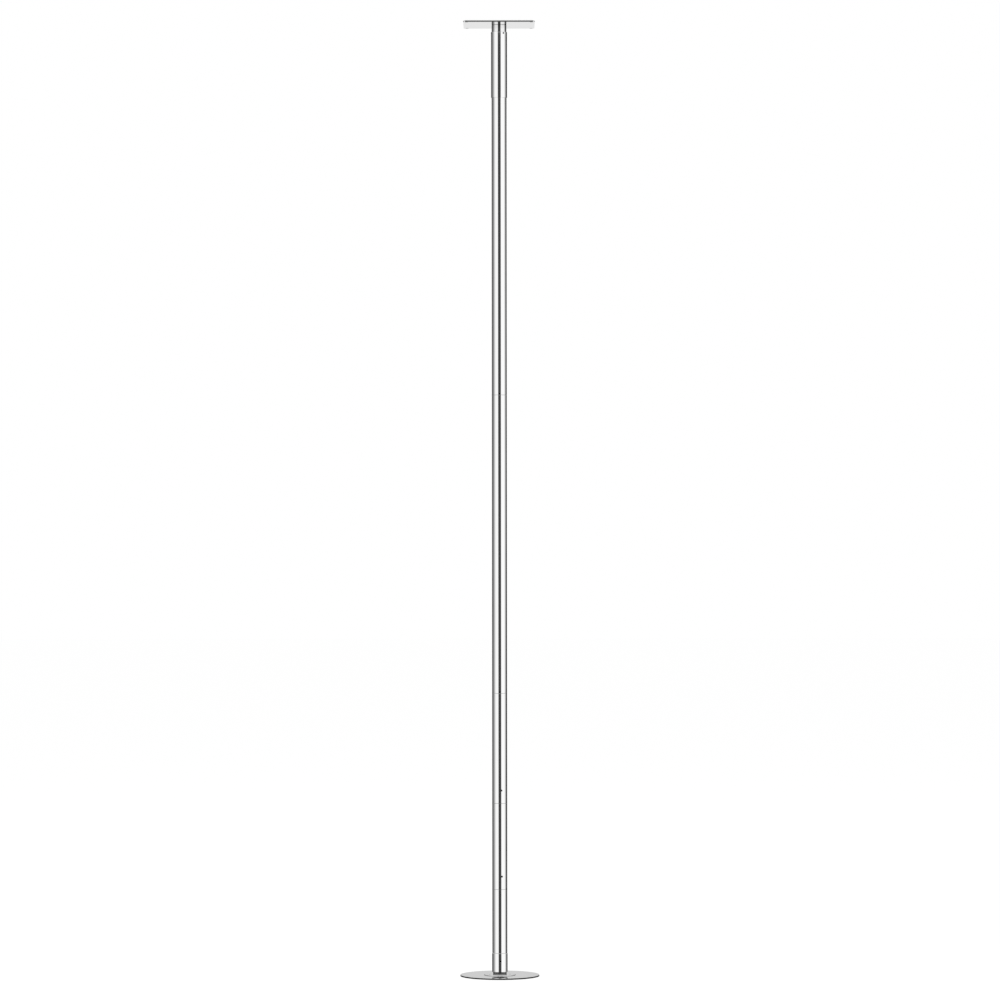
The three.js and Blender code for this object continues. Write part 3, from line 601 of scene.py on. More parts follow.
def plain_hole(radius: float, low: float, high: float, at: Vector) -> bmesh.types.BMesh:
    """Make the cutter of a plain hole through a level plate.

    Args:
        radius: The hole's radius.
        low: The plate's underside.
        high: The plate's upper side.
        at: Where the hole is, of which X and Y count.

    Returns:
        The cutter.
    """
    bm = spun(disc(radius, low - OVERRUN, high + OVERRUN), HOLE_SIDES)
    bmesh.ops.translate(bm, verts=bm.verts, vec=(at.x, at.y, 0))
    return bm


def hexagon_bar(across: float, low: float, high: float) -> bmesh.types.BMesh:
    """Make an upright hexagon bar on the Z axis.

    Args:
        across: Its size across the flats.
        low: Its lower end.
        high: Its upper end.

    Returns:
        The bar.
    """
    corner = across / math.sqrt(3)
    bm = bmesh.new()
    bmesh.ops.create_cone(
        bm, cap_ends=True, segments=HEX_SIDES, radius1=corner, radius2=corner,
        depth=high - low, matrix=Matrix.Translation((0, 0, (low + high) / 2)))
    return bm


def socket_screw(
    radius: float, start: float, end: float, name: str, place: Matrix,
) -> bpy.types.Object:
    """Make a headless screw with a hexagon socket in its outer end.

    Args:
        radius: The screw's radius.
        start: Where its tip is, along its axis.
        end: Where its socket opens, along its axis.
        name: The object's name.
        place: Where the screw's axis lies.

    Returns:
        The screw.
    """
    tip = radius * SCREW_TIP_SHARE
    outline = [
        (0.0, start), (radius - tip, start), (radius, start + tip),
        (radius, end - tip / 2), (radius - tip / 2, end), (0.0, end)]
    screw = solid(name, spun(outline, HOLE_SIDES))
    depth = min(2 * radius, end - start) * SOCKET_DEPTH_SHARE
    drilled(screw, hexagon_bar(2 * radius * SOCKET_ACROSS_SHARE, end - depth, end + OVERRUN))
    screw.data.transform(place)
    return screw


def sunk_screw(node: str, head_up: bool) -> bpy.types.Object:
    """Make a countersunk screw with a hexagon socket, where its node lies.

    Args:
        node: The node that it stands for.
        head_up: Whether its head is at the top.

    Returns:
        The screw.
    """
    extent = Extent.of(node)
    shank = extent.radius / SINK_HEAD_SHARE
    length = extent.high.z - extent.low.z
    head = extent.radius - shank
    tip = shank * SCREW_TIP_SHARE
    outline = [
        (0.0, 0.0), (extent.radius, 0.0), (shank, head),
        (shank, length - tip), (shank - tip, length), (0.0, length)]
    screw = solid(f"{node}_turned", spun(outline, HOLE_SIDES))
    drilled(screw, hexagon_bar(
        2 * shank * SUNK_SOCKET_SHARE, -OVERRUN, head * SOCKET_DEPTH_SHARE))
    place = Matrix.Translation((extent.centre.x, extent.centre.y, extent.low.z))
    if head_up:
        flip = Matrix.Rotation(math.pi, 4, "X")
        place = Matrix.Translation((extent.centre.x, extent.centre.y, extent.high.z)) @ flip
    screw.data.transform(place)
    return screw


def sunk_hole(
    shank: float, head: float, low: float, high: float, at: Vector, mouth_up: bool,
) -> bmesh.types.BMesh:
    """Make the cutter of a countersunk hole through a level plate.

    Args:
        shank: The radius of the plain part.
        head: The radius at the mouth.
        low: The plate's underside.
        high: The plate's upper side.
        at: Where the hole is, of which X and Y count.
        mouth_up: Whether the wide end is at the top.

    Returns:
        The cutter.
    """
    slope = head - shank
    if mouth_up:
        outline = [
            (0.0, low - OVERRUN), (shank, low - OVERRUN), (shank, high - slope),
            (head + OVERRUN, high + OVERRUN), (0.0, high + OVERRUN)]
    else:
        outline = [
            (0.0, low - OVERRUN), (head + OVERRUN, low - OVERRUN), (shank, low + slope),
            (shank, high + OVERRUN), (0.0, high + OVERRUN)]
    bm = spun(outline, HOLE_SIDES)
    bmesh.ops.translate(bm, verts=bm.verts, vec=(at.x, at.y, 0))
    return bm


class Finisher:
    """Gives a shaped piece its shading, its material and its place in the frame."""

    def __init__(self) -> None:
        """Build every material."""
        workshop = Workshop()
        self.materials = {name: finish.build(workshop) for name, finish in FINISHES.items()}

    def dress(
        self, piece: bpy.types.Object, node: str, finish: str, stands_for: bool = True,
    ) -> None:
        """Finish a piece.

        Args:
            piece: The shaped piece.
            node: The node whose body it moves with.
            finish: The name of its finish.
            stands_for: Whether it takes that node's place.
        """
        mesh = piece.data
        mesh.materials.clear()
        mesh.materials.append(self.materials[finish])
        mesh.polygons.foreach_set("use_smooth", [True] * len(mesh.polygons))
        mesh.polygons.foreach_set("material_index", [0] * len(mesh.polygons))
        mesh.set_sharp_from_angle(angle=SHARP_ANGLE)
        weighted = piece.modifiers.new("flat_faces_stay_flat", "WEIGHTED_NORMAL")
        weighted.keep_sharp = True
        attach(piece, BODY_OF_NODE[node])
        if stands_for:
            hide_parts(node)
        log.info("%s: %d faces, %s", piece.name, len(mesh.polygons), finish)

    def turn(self, node: str, outline: Outline, finish: str, edge: float = 0.0) -> None:
        """Turn a piece, ease its edges and finish it.

        Args:
            node: The node that it stands for.
            outline: Its outline, in place.
            finish: The name of its finish.
            edge: How far its edges are eased.
        """
        bm = spun(outline)
        if edge > 0:
            eased(bm, edge)
        self.dress(solid(f"{node}_turned", bm), node, finish)

    def screw(self, node: str, radius: float, half: float, middle: float | None = None) -> None:
        """Turn a headless screw that points away from the pole's axis, and finish it.

        Args:
            node: The node that it stands for.
            radius: The screw's radius.
            half: Half its length.
            middle: How far its middle lies from the axis, if not where the node's does.
        """
        extent = Extent.of(node)
        if middle is None:
            middle = extent.reach
        self.dress(
            socket_screw(
                radius, middle - half, middle + half, f"{node}_turned",
                outwards(extent.bearing_angle, extent.centre.z)),
            node, "black_oxide")


@dataclass
class FloorBase:
    """The round plate on its pad, with the raised flange and its screws."""

    plate_edge: float = 0.25 * MM
    flange_edge: float = 0.15 * MM
    flange_slope: float = 1.7 * MM
    pad_undercut: float = 8 * MM
    pad_lip: float = 0.1 * MM
    flange_screws: int = 3

    def build(self, shop: Finisher) -> None:
        """Make every piece of the base.

        Args:
            shop: What finishes them.
        """
        nodes = ("spindle_bolt", *(f"base_screw_{i + 1}" for i in range(self.flange_screws)))
        screws = [Extent.of(node) for node in nodes]
        self.build_pad(shop)
        self.build_plate(shop, screws)
        self.build_flange(shop, screws)
        for node in nodes:
            shop.dress(sunk_screw(node, head_up=False), node, "black_oxide")

    def build_pad(self, shop: Finisher) -> None:
        """Make the rubber pad, whose rim slants in under the plate.

        Args:
            shop: What finishes it.
        """
        pad = Extent.of("base_pad")
        shop.turn("base_pad", [
            (0.0, pad.low.z), (pad.radius - self.pad_undercut, pad.low.z),
            (pad.radius, pad.high.z - self.pad_lip), (pad.radius, pad.high.z), (0.0, pad.high.z)],
            "pad_rubber")

    def build_plate(self, shop: Finisher, screws: list[Extent]) -> None:
        """Make the round plate, with its holes sunk from below.

        Args:
            shop: What finishes it.
            screws: Where the screws lie that go through it.
        """
        plate = Extent.of("base_plate")
        base = solid("base_plate_turned", eased(
            spun(disc(plate.radius, plate.low.z, plate.high.z)), self.plate_edge))
        drilled(base, *(
            sunk_hole(
                one.radius / SINK_HEAD_SHARE + FIT, one.radius + FIT,
                plate.low.z, plate.high.z, one.centre, mouth_up=False)
            for one in screws))
        shop.dress(base, "base_plate", "plate_polish")

    def build_flange(self, shop: Finisher, screws: list[Extent]) -> None:
        """Make the raised flange, with its sloping rim.

        Args:
            shop: What finishes it.
            screws: Where the screws lie that go through it.
        """
        flange, slope = Extent.of("spindle_flange"), self.flange_slope
        raised = solid("spindle_flange_turned", eased(spun([
            (0.0, flange.low.z), (flange.radius, flange.low.z),
            (flange.radius, flange.high.z - slope), (flange.radius - slope, flange.high.z),
            (0.0, flange.high.z)]), self.flange_edge))
        drilled(raised, *(
            plain_hole(
                one.radius / SINK_HEAD_SHARE + FIT, flange.low.z, flange.high.z, one.centre)
            for one in screws))
        shop.dress(raised, "spindle_flange", "plate_polish")


@dataclass
class ScrewJack:
    """The threaded spindle, its nut and its washer."""

    pitch: float = 2.5 * MM
    thread_depth: float = 1.25 * MM
    crest_share: float = 0.28
    root_share: float = 0.22
    across_flats: float = 40 * MM
    nut_chamfer: float = 0.5 * MM
    nut_edge: float = 0.2 * MM
    washer_edge: float = 0.2 * MM
    washer_neck: float = 12.5 * MM
    washer_drop: float = 1.8 * MM
    nut_drop: float = 2.5 * MM

    def thread(self, radius: float, low: float, high: float) -> bmesh.types.BMesh:
        """Cut a thread on a rod.

        Args:
            radius: The radius over the crests.
            low: The rod's lower end.
            high: The rod's upper end.

        Returns:
            The closed, threaded rod.
        """
        root = radius - self.thread_depth
        flank = (1 - self.crest_share - self.root_share) / 2
        tooth = [
            (root, 0.0), (root, self.root_share),
            (radius, self.root_share + flank), (radius, 1 - flank)]
        turns = math.ceil((high - low) / self.pitch) + 2
        start = low - self.pitch
        bm = bmesh.new()
        line = [
            bm.verts.new((across, 0.0, start + (turn + share) * self.pitch))
            for turn in range(turns) for across, share in tooth]
        edges = [bm.edges.new(pair) for pair in zip(line, line[1:])]
        bmesh.ops.spin(
            bm, geom=line + edges, cent=(0, 0, 0), axis=(0, 0, 1),
            dvec=(0, 0, self.pitch / HOLE_SIDES), angle=FULL_TURN, steps=HOLE_SIDES)
        bmesh.ops.remove_doubles(bm, verts=bm.verts, dist=THREAD_WELD)
        for height, normal in ((low, 1), (high, -1)):
            bmesh.ops.bisect_plane(
                bm, geom=[*bm.verts, *bm.edges, *bm.faces], plane_co=(0, 0, height),
                plane_no=(0, 0, normal), clear_inner=True)
        bmesh.ops.holes_fill(bm, edges=[e for e in bm.edges if e.is_boundary], sides=0)
        bmesh.ops.recalc_face_normals(bm, faces=bm.faces)
        return bm

    def build(self, shop: Finisher) -> None:
        """Make every piece of the jack.

        Args:
            shop: What finishes them.
        """
        bore = Extent.of("jack_spindle").radius + FIT
        self.build_spindle(shop)
        # The nut's darker polish is painted shade for its place under the housing.
        shop.dress(self.nut(Extent.of("jack_nut"), bore), "jack_nut", "nut_polish_painted_shade")
        self.build_washer(shop, bore)

    def build_spindle(self, shop: Finisher) -> None:
        """Make the threaded spindle, with its keyway and the hole of its bolt.

        Args:
            shop: What finishes it.
        """
        spindle, nut = Extent.of("jack_spindle"), Extent.of("jack_nut")
        bolt = Extent.of("spindle_bolt")
        rod = solid(
            "jack_spindle_threaded", self.thread(spindle.radius, spindle.low.z, spindle.high.z))
        bolt_hole = spun(
            disc(bolt.radius / SINK_HEAD_SHARE + FIT, spindle.low.z - OVERRUN, bolt.high.z + FIT),
            HOLE_SIDES)
        keyway = bmesh.new()
        bmesh.ops.create_cube(keyway, size=1.0)
        depth = KEYWAY_DEPTH + OVERRUN
        height = spindle.high.z - nut.high.z + OVERRUN
        bmesh.ops.scale(keyway, verts=keyway.verts, vec=(KEYWAY_WIDTH, depth, height))
        bmesh.ops.translate(
            keyway, verts=keyway.verts,
            vec=(0, spindle.radius + OVERRUN - depth / 2, nut.high.z + height / 2))
        drilled(rod, bolt_hole, keyway)
        shop.dress(rod, "jack_spindle", "turned_steel")

    def build_washer(self, shop: Finisher, bore: float) -> None:
        """Make the washer between the nut and the housing, with its slim neck.

        Args:
            shop: What finishes it.
            bore: The radius of its bore.
        """
        washer = Extent.of("jack_washer")
        low, shoulder = washer.low.z - self.nut_drop, washer.high.z - self.washer_drop
        shop.turn("jack_washer", [
            (bore, low), (washer.radius, low), (washer.radius, shoulder),
            (self.washer_neck, shoulder), (self.washer_neck, washer.high.z),
            (bore, washer.high.z)],
            "black_oxide", self.washer_edge)

    def nut(self, extent: Extent, bore: float) -> bpy.types.Object:
        """Make the hexagon nut, with its corners turned down at the top.

        Args:
            extent: Where the nut lies.
            bore: The radius of its bore.

        Returns:
            The nut.
        """
        corner = self.across_flats / math.sqrt(3)
        flat = self.across_flats / 2
        low, top = extent.low.z, extent.high.z - self.nut_drop
        made = solid("jack_nut_shaped", eased(
            hexagon_bar(self.across_flats, low, top), self.nut_edge))
        run = corner - flat
        envelope = [
            (bore, low - OVERRUN), (corner + run, low - OVERRUN),
            (corner + run, top - 2 * self.nut_chamfer), (flat, top), (bore, top)]
        return combined(made, solid("envelope", spun(envelope)), "INTERSECT")


@dataclass(frozen=True)
class ThrustBearing:
    """Two grooved washers with a ring of balls between them."""

    prefix: str
    bore: float
    outer: float
    ball: float = 5.4 * MM
    offset: float = 1.9 * MM
    cage: float = 2.4 * MM
    margin: float = 1 * MM
    balls: int = 8
    edge: float = 0.25 * MM

    def groove(self, face: float, direction: int) -> Outline:
        """Give a washer's face with its ball groove, from its rim to its bore.

        Args:
            face: The height of the face.
            direction: 1 where the face looks up and -1 where it looks down.

        Returns:
            The points of the face.
        """
        pitch = (self.bore + self.outer) / 2
        middle = face + direction * self.offset
        radius = self.ball / 2 + FIT
        half = math.acos(self.offset / radius)
        towards = -direction * math.pi / 2
        return arc((pitch, middle), radius, towards + direction * half, towards - direction * half)

    def build(self, shop: Finisher) -> None:
        """Make both washers, the cage and the balls.

        Args:
            shop: What finishes them.
        """
        lower = Extent.of(f"{self.prefix}_lower_washer")
        upper = Extent.of(f"{self.prefix}_upper_washer")
        shop.turn(
            f"{self.prefix}_lower_washer",
            [(self.bore, lower.low.z), (self.outer, lower.low.z), (self.outer, lower.high.z),
             *self.groove(lower.high.z, 1), (self.bore, lower.high.z)], "ground_steel")
        shop.turn(
            f"{self.prefix}_upper_washer",
            [(self.bore, upper.high.z), (self.outer, upper.high.z), (self.outer, upper.low.z),
             *self.groove(upper.low.z, -1), (self.bore, upper.low.z)], "ground_steel")
        middle = (lower.high.z + upper.low.z) / 2
        plate = ring(
            self.bore + self.margin, self.outer - self.margin,
            middle - self.cage / 2, middle + self.cage / 2)
        add_cage(shop, f"{self.prefix}_cage", plate, self.ball, (self.bore + self.outer) / 2,
                 middle, self.balls, self.edge)


@dataclass(frozen=True)
class BallBearing:
    """An inner and an outer ring with a ring of balls between them."""

    prefix: str
    bore: float
    outer: float
    ball: float = 3.8 * MM
    offset: float = 1.2 * MM
    band: float = 1.2 * MM
    band_share: float = 0.62
    balls: int = 9
    edge: float = 0.12 * MM

    def build(self, shop: Finisher) -> None:
        """Make both rings, the cage and the balls.

        Args:
            shop: What finishes them.
        """
        extent = Extent.of(f"{self.prefix}_outer_ring")
        low, high = extent.low.z, extent.high.z
        pitch, middle = (self.bore + self.outer) / 2, (low + high) / 2
        radius = self.ball / 2 + FIT
        half = math.acos(self.offset / radius)
        outside = arc((pitch, middle), radius, half, -half)
        inside = arc((pitch, middle), radius, half - math.pi, -half - math.pi)
        shop.turn(
            f"{self.prefix}_outer_ring",
            [(pitch + self.offset, low), (self.outer, low), (self.outer, high),
             (pitch + self.offset, high), *outside], "ground_steel")
        shop.turn(
            f"{self.prefix}_inner_ring",
            [(self.bore, low), (pitch - self.offset, low), *inside,
             (pitch - self.offset, high), (self.bore, high)], "ground_steel")
        tall = (high - low) * self.band_share / 2
        band = ring(pitch - self.band / 2, pitch + self.band / 2, middle - tall, middle + tall)
        add_cage(shop, f"{self.prefix}_cage", band, self.ball, pitch, middle, self.balls, self.edge)


def add_cage(
    shop: Finisher, node: str, outline: Outline, ball: float, pitch: float, middle: float,
    count: int, edge: float,
) -> None:
    """Make a cage of brass and the steel balls in it.

    Args:
        shop: What finishes them.
        node: The node that the cage stands for.
        outline: The cage's outline.
        ball: The balls' diameter.
        pitch: The radius of the circle that they run on.
        middle: The height of that circle.
        count: How many balls there are.
        edge: How far the cage's edges are eased.
    """
    first = (math.pi / count - math.pi) / 2
    places = [
        Vector((pitch * math.cos(first + i * FULL_TURN / count),
                pitch * math.sin(first + i * FULL_TURN / count), middle))
        for i in range(count)]
    cage = solid(f"{node}_body", eased(spun(outline), edge))
    pockets, balls = bmesh.new(), bmesh.new()
    for place in places:
        for target, radius in ((pockets, ball / 2 + FIT / 2), (balls, ball / 2)):
            bmesh.ops.create_uvsphere(
                target, u_segments=BALL_SIDES, v_segments=BALL_SIDES // 2, radius=radius,
                matrix=Matrix.Translation(place))
    drilled(cage, pockets)
    shop.dress(cage, node, "turned_brass")
    shop.dress(solid(f"{node}_balls", balls), node, "ground_steel", stands_for=False)


@dataclass
class BearingFoot:
    """The housing on the jack, its bearings, and the shaft that spins in it."""

    shaft_bore_clearance: float = 0.75 * MM
    land_clearance: float = 1 * MM
    land_length: float = 11.9 * MM
    chamfer: float = 0.5 * MM
    clip_depth: float = 0.8 * MM
    collar_rise: float = 1.5 * MM
    head_wall: float = 5.2 * MM
    head_chamfer: float = 1.5 * MM
    bore_above_seam_painted_shade: float = 8 * MM
    thrust_radii: tuple[float, float] = (12.5 * MM, 20.7 * MM)
    ball_radii: tuple[float, float] = (15 * MM, 21 * MM)
    lock_length: float = 6.2 * MM
    screw_radius: float = 2.5 * MM
    lock_radius: float = 3 * MM
    hole_flare: float = 0.25 * MM
    plug_edge: float = 0.3 * MM

    def build(self, shop: Finisher) -> None:
        """Make every piece of the foot.

        Args:
            shop: What finishes them.
        """
        self.build_housing(shop)
        self.build_plug(shop)
        self.build_shaft(shop)
        ThrustBearing("foot_thrust", *self.thrust_radii).build(shop)
        BallBearing("foot_bearing", *self.ball_radii).build(shop)

    def build_housing(self, shop: Finisher) -> None:
        """Make the housing, its clip and the lock screw.

        Args:
            shop: What finishes them.
        """
        housing, rings = Extent.of("bearing_housing"), Extent.of("foot_bearing_outer_ring")
        clip = Extent.of("housing_clip")
        pocket = self.ball_radii[1] + FIT
        land = self.ball_radii[0] - FIT + self.land_clearance
        land_top = rings.low.z - FACE_GAP
        low, high = housing.low.z, housing.high.z
        shell = solid("bearing_housing_turned", spun([
            (pocket, low), (housing.radius - self.chamfer, low),
            (housing.radius, low + self.chamfer), (housing.radius, high - self.chamfer),
            (housing.radius - self.chamfer, high), (pocket, high),
            (pocket, clip.high.z + FACE_GAP),
            (pocket + self.clip_depth, clip.high.z + FACE_GAP),
            (pocket + self.clip_depth, clip.low.z - FACE_GAP),
            (pocket, clip.low.z - FACE_GAP), (pocket, land_top), (land, land_top),
            (land, land_top - self.land_length), (pocket, land_top - self.land_length)]))
        lock = Extent.of("spin_lock_screw")
        drilled(shell, screw_hole(
            lock, self.lock_radius + FIT, land - OVERRUN, housing.radius, self.hole_flare))
        shop.dress(shell, "bearing_housing", "tube_chrome")
        shop.screw("spin_lock_screw", self.lock_radius, self.lock_length / 2)
        SpringClip("housing_clip", pocket + self.clip_depth - FIT - CLIP_WIDTH).build(shop)

    def build_plug(self, shop: Finisher) -> None:
        """Make the keyed plug that closes the housing from below.

        Args:
            shop: What finishes it.
        """
        plug, spindle = Extent.of("guide_plug"), Extent.of("jack_spindle")
        bore = spindle.radius + FIT
        body = solid("guide_plug_turned", eased(
            spun(ring(bore, plug.radius, plug.low.z, plug.high.z)), self.plug_edge))
        key = bmesh.new()
        bmesh.ops.create_cube(key, size=1.0)
        root, tip = bore + OVERRUN, spindle.radius - KEYWAY_DEPTH + FIT
        height = plug.high.z - plug.low.z - 2 * self.plug_edge
        bmesh.ops.scale(key, verts=key.verts, vec=(KEYWAY_WIDTH - 2 * FIT, root - tip, height))
        bmesh.ops.translate(key, verts=key.verts, vec=(0, (root + tip) / 2, plug.centre.z))
        combined(body, solid("key", key), "UNION")
        shop.dress(body, "guide_plug", "turned_steel")

    def build_shaft(self, shop: Finisher) -> None:
        """Make the spinning shaft and the screw that holds the lowest tube on it.

        Args:
            shop: What finishes them.
        """
        shaft, tube = Extent.of("spin_shaft"), Extent.of("short_extension_tube")
        rings = Extent.of("foot_bearing_outer_ring")
        upper_washer = Extent.of("foot_thrust_upper_washer")
        spindle = Extent.of("jack_spindle")
        head = shaft.radius
        narrow, journal = self.thrust_radii[0] - FIT, self.ball_radii[0] - FIT
        low_bore = spindle.radius + self.shaft_bore_clearance
        high_bore = head - self.head_wall
        washer_top = upper_washer.high.z + FACE_GAP
        collar = rings.high.z + FACE_GAP
        step = tube.low.z + self.bore_above_seam_painted_shade
        top = shaft.high.z
        body = solid("spin_shaft_turned", spun([
            (low_bore, shaft.low.z), (narrow, shaft.low.z), (narrow, washer_top),
            (journal, washer_top), (journal, collar), (journal + self.collar_rise, collar),
            (journal + self.collar_rise, tube.low.z), (head, tube.low.z),
            (head, top - self.head_chamfer), (head - self.head_chamfer, top), (high_bore, top),
            (high_bore, step), (low_bore, step)]))
        screw = Extent.of("shaft_screw")
        drilled(body, screw_hole(screw, self.screw_radius + FIT, high_bore - OVERRUN, head))
        shop.dress(body, "spin_shaft", "turned_steel")
        shop.screw("shaft_screw", self.screw_radius, (screw.high.y - screw.low.y) / 2)


@dataclass(frozen=True)
class SpringClip:
    """A flat spring clip that is open at the back."""

    node: str
    inner: float
    opening: float = math.radians(40)
    edge: float = 0.15 * MM
    edge_segments: int = 2

    def build(self, shop: Finisher) -> None:
        """Bend the clip.

        Args:
            shop: What finishes it.
        """
        extent = Extent.of(self.node)
        bm = bmesh.new()
        start = math.pi / 2 + self.opening / 2
        corners = [
            bm.verts.new((radius * math.cos(start), radius * math.sin(start), height))
            for radius, height in ring(
                self.inner, self.inner + CLIP_WIDTH, extent.low.z, extent.high.z)]
        face = bm.faces.new(corners)
        bmesh.ops.spin(
            bm, geom=[face, *face.edges, *face.verts], cent=(0, 0, 0), axis=(0, 0, 1),
            angle=FULL_TURN - self.opening, steps=TURNED_SIDES // 2)
        bmesh.ops.remove_doubles(bm, verts=bm.verts, dist=WELD)
        bmesh.ops.recalc_face_normals(bm, faces=bm.faces)
        shop.dress(
            solid(f"{self.node}_bent", eased(bm, self.edge, self.edge_segments)), self.node,
            "black_oxide")


@dataclass
class PoleTubes:
    """The five tubes, and the spigots and joiners inside their seams."""

    wall: float = 2 * MM
    seam_edge: float = 0.5 * MM
    groove_depth: float = 0.06 * MM
    groove_band: float = 0.3 * MM
    groove_half: float = 0.52 * MM
    hole_flare: float = 0.1 * MM
    near_hole: float = 6 * MM
    spigot_wall: float = 4 * MM
    insert_edge: float = 1.2 * MM
    spigot_radius: float = 2.5 * MM
    key_radius: float = 2.2 * MM
    clamp_radius: float = 3 * MM
    joiner_wall: float = 4 * MM
    joiner_gap: float = 2 * MM
    joiner_block: float = 30 * MM
    joiner_screw_radius: float = 4 * MM
    dimple: float = 1.5 * MM

    def tube(self, shop: Finisher, node: str, holes: list[tuple[str, float]]) -> None:
        """Make one tube with its holes.

        Args:
            shop: What finishes it.
            node: The node that it stands for.
            holes: The screw behind each hole, and the hole's radius.
        """
        extent = Extent.of(node)
        bore = extent.radius - self.wall
        low, high = extent.low.z, extent.high.z
        screws = [(Extent.of(name), radius) for name, radius in holes]
        rows = sorted(
            row for screw, _ in screws for row in
            (screw.centre.z - self.near_hole, screw.centre.z + self.near_hole)
            if low + self.near_hole < row < high - self.near_hole)
        outline = [
            (bore, low), (extent.radius, low), *((extent.radius, row) for row in rows),
            (extent.radius, high), (bore, high), *((bore, row) for row in reversed(rows))]
        tube = solid(f"{node}_drawn", eased(spun(outline), self.seam_edge))
        drilled(tube, *(
            screw_hole(screw, radius, bore - OVERRUN, extent.radius, self.hole_flare)
            for screw, radius in screws))
        shop.dress(tube, node, "tube_chrome")

    def seam(self, shop: Finisher, below: str, above: str) -> None:
        """Make a black ring of painted shade at the bottom of the groove where two tubes meet.

        Args:
            shop: What finishes it.
            below: The node of the lower tube, which it moves with.
            above: The node of the upper tube.
        """
        tube = Extent.of(below)
        middle = (tube.high.z + Extent.of(above).low.z) / 2
        outer = tube.radius - self.groove_depth
        shop.dress(
            solid(f"{below}_seam_painted_shade", spun(ring(
                outer - self.groove_band, outer, middle - self.groove_half,
                middle + self.groove_half))),
            below, "painted_recess_shade", stands_for=False)

    def spigot(self, shop: Finisher, name: str) -> None:
        """Make one spigot and its screw.

        Args:
            shop: What finishes them.
            name: The seam's name.
        """
        node = f"{name}_spigot"
        extent, screw = Extent.of(node), Extent.of(f"{node}_screw")
        inner = extent.radius - self.spigot_wall
        body = solid(f"{node}_turned", eased(
            spun(ring(inner, extent.radius, extent.low.z, extent.high.z)), self.insert_edge))
        drilled(body, screw_hole(
            screw, self.spigot_radius + FIT, inner - OVERRUN, extent.radius))
        shop.dress(body, node, "turned_steel")
        shop.screw(f"{node}_screw", self.spigot_radius, screw.reach - inner - FIT)

    def joiner(self, shop: Finisher, name: str) -> None:
        """Make one expanding joiner: two halves and the screw that parts them.

        Args:
            shop: What finishes them.
            name: The seam's name.
        """
        front = Extent.of(f"{name}_joiner_front")
        screw = Extent.of(f"{name}_joiner_screw")
        outer = -front.low.y
        inner = outer - self.joiner_wall
        low, high = front.low.z, front.high.z
        block_low = screw.centre.z - self.joiner_block / 2
        block_high = screw.centre.z + self.joiner_block / 2
        outline = [
            (0.0, block_low), (inner, block_low), (inner, low), (outer, low), (outer, high),
            (inner, high), (inner, block_high), (0.0, block_high)]
        for side, part in ((-1, "front"), (1, "back")):
            bm = eased(spun(outline), self.insert_edge)
            bmesh.ops.bisect_plane(
                bm, geom=[*bm.verts, *bm.edges, *bm.faces],
                plane_co=(0, side * self.joiner_gap / 2, 0), plane_no=(0, side, 0),
                clear_inner=True)
            bmesh.ops.holes_fill(bm, edges=[e for e in bm.edges if e.is_boundary], sides=0)
            bmesh.ops.recalc_face_normals(bm, faces=bm.faces)
            half = solid(f"{name}_joiner_{part}_milled", bm)
            start = -self.joiner_gap / 2 - self.dimple
            end = outer if side < 0 else 0.0
            drilled(half, screw_hole(screw, self.joiner_screw_radius + FIT, start, end))
            shop.dress(half, f"{name}_joiner_{part}", "turned_steel")
        shop.screw(
            f"{name}_joiner_screw", self.joiner_screw_radius, (screw.high.y - screw.low.y) / 2)

    def build(self, shop: Finisher) -> None:
        """Make every tube, spigot and joiner.

        Args:
            shop: What finishes them.
        """
        spigot = self.spigot_radius + FIT
        clamp = self.clamp_radius + FIT
        self.tube(shop, "short_extension_tube", [("shaft_screw", spigot)])
        self.tube(shop, "middle_extension_tube", [("short_spigot_screw", spigot)])
        self.tube(shop, "long_extension_tube", [("middle_spigot_screw", spigot)])
        self.tube(shop, "lower_main_tube", [("lower_joiner_screw", self.key_radius)])
        self.tube(shop, "upper_main_tube", [
            ("upper_joiner_screw", self.key_radius),
            ("post_clamp_screw_2", clamp), ("post_clamp_screw_1", clamp)])
        # Each seam's groove gets a black ring of painted shade.
        for below, above in zip(TUBES, TUBES[1:]):
            self.seam(shop, below, above)
        for name in ("short", "middle"):
            self.spigot(shop, name)
        for name in ("lower", "upper"):
            self.joiner(shop, name)


@dataclass
class TopPost:
    """The telescoping post with its collar, its bush and its clamp screws."""

    wall: float = 3 * MM
    clamp_radius: float = 3 * MM
    clamp_screws: int = 2
    edge: float = 0.3 * MM

    def build(self, shop: Finisher) -> None:
        """Make every piece of the post.

        Args:
            shop: What finishes them.
        """
        post, collar, bush = (Extent.of(n) for n in ("top_post", "guide_collar", "post_foot_bush"))
        shop.turn(
            "top_post", ring(post.radius - self.wall, post.radius, post.low.z, post.high.z),
            "turned_steel", self.edge)
        shop.turn(
            "post_foot_bush",
            ring(post.radius + FACE_GAP, bush.radius, bush.low.z, bush.high.z),
            "turned_brass", self.edge)
        sleeve = solid("guide_collar_turned", eased(
            spun(ring(post.radius + FIT, collar.radius, collar.low.z, collar.high.z)), self.edge))
        for i in range(self.clamp_screws):
            node = f"post_clamp_screw_{i + 1}"
            screw = Extent.of(node)
            drilled(sleeve, screw_hole(
                screw, self.clamp_radius + FIT, post.radius, collar.radius + OVERRUN))
            shop.screw(node, self.clamp_radius, (screw.high.y - screw.low.y) / 2)
        shop.dress(sleeve, "guide_collar", "turned_brass")


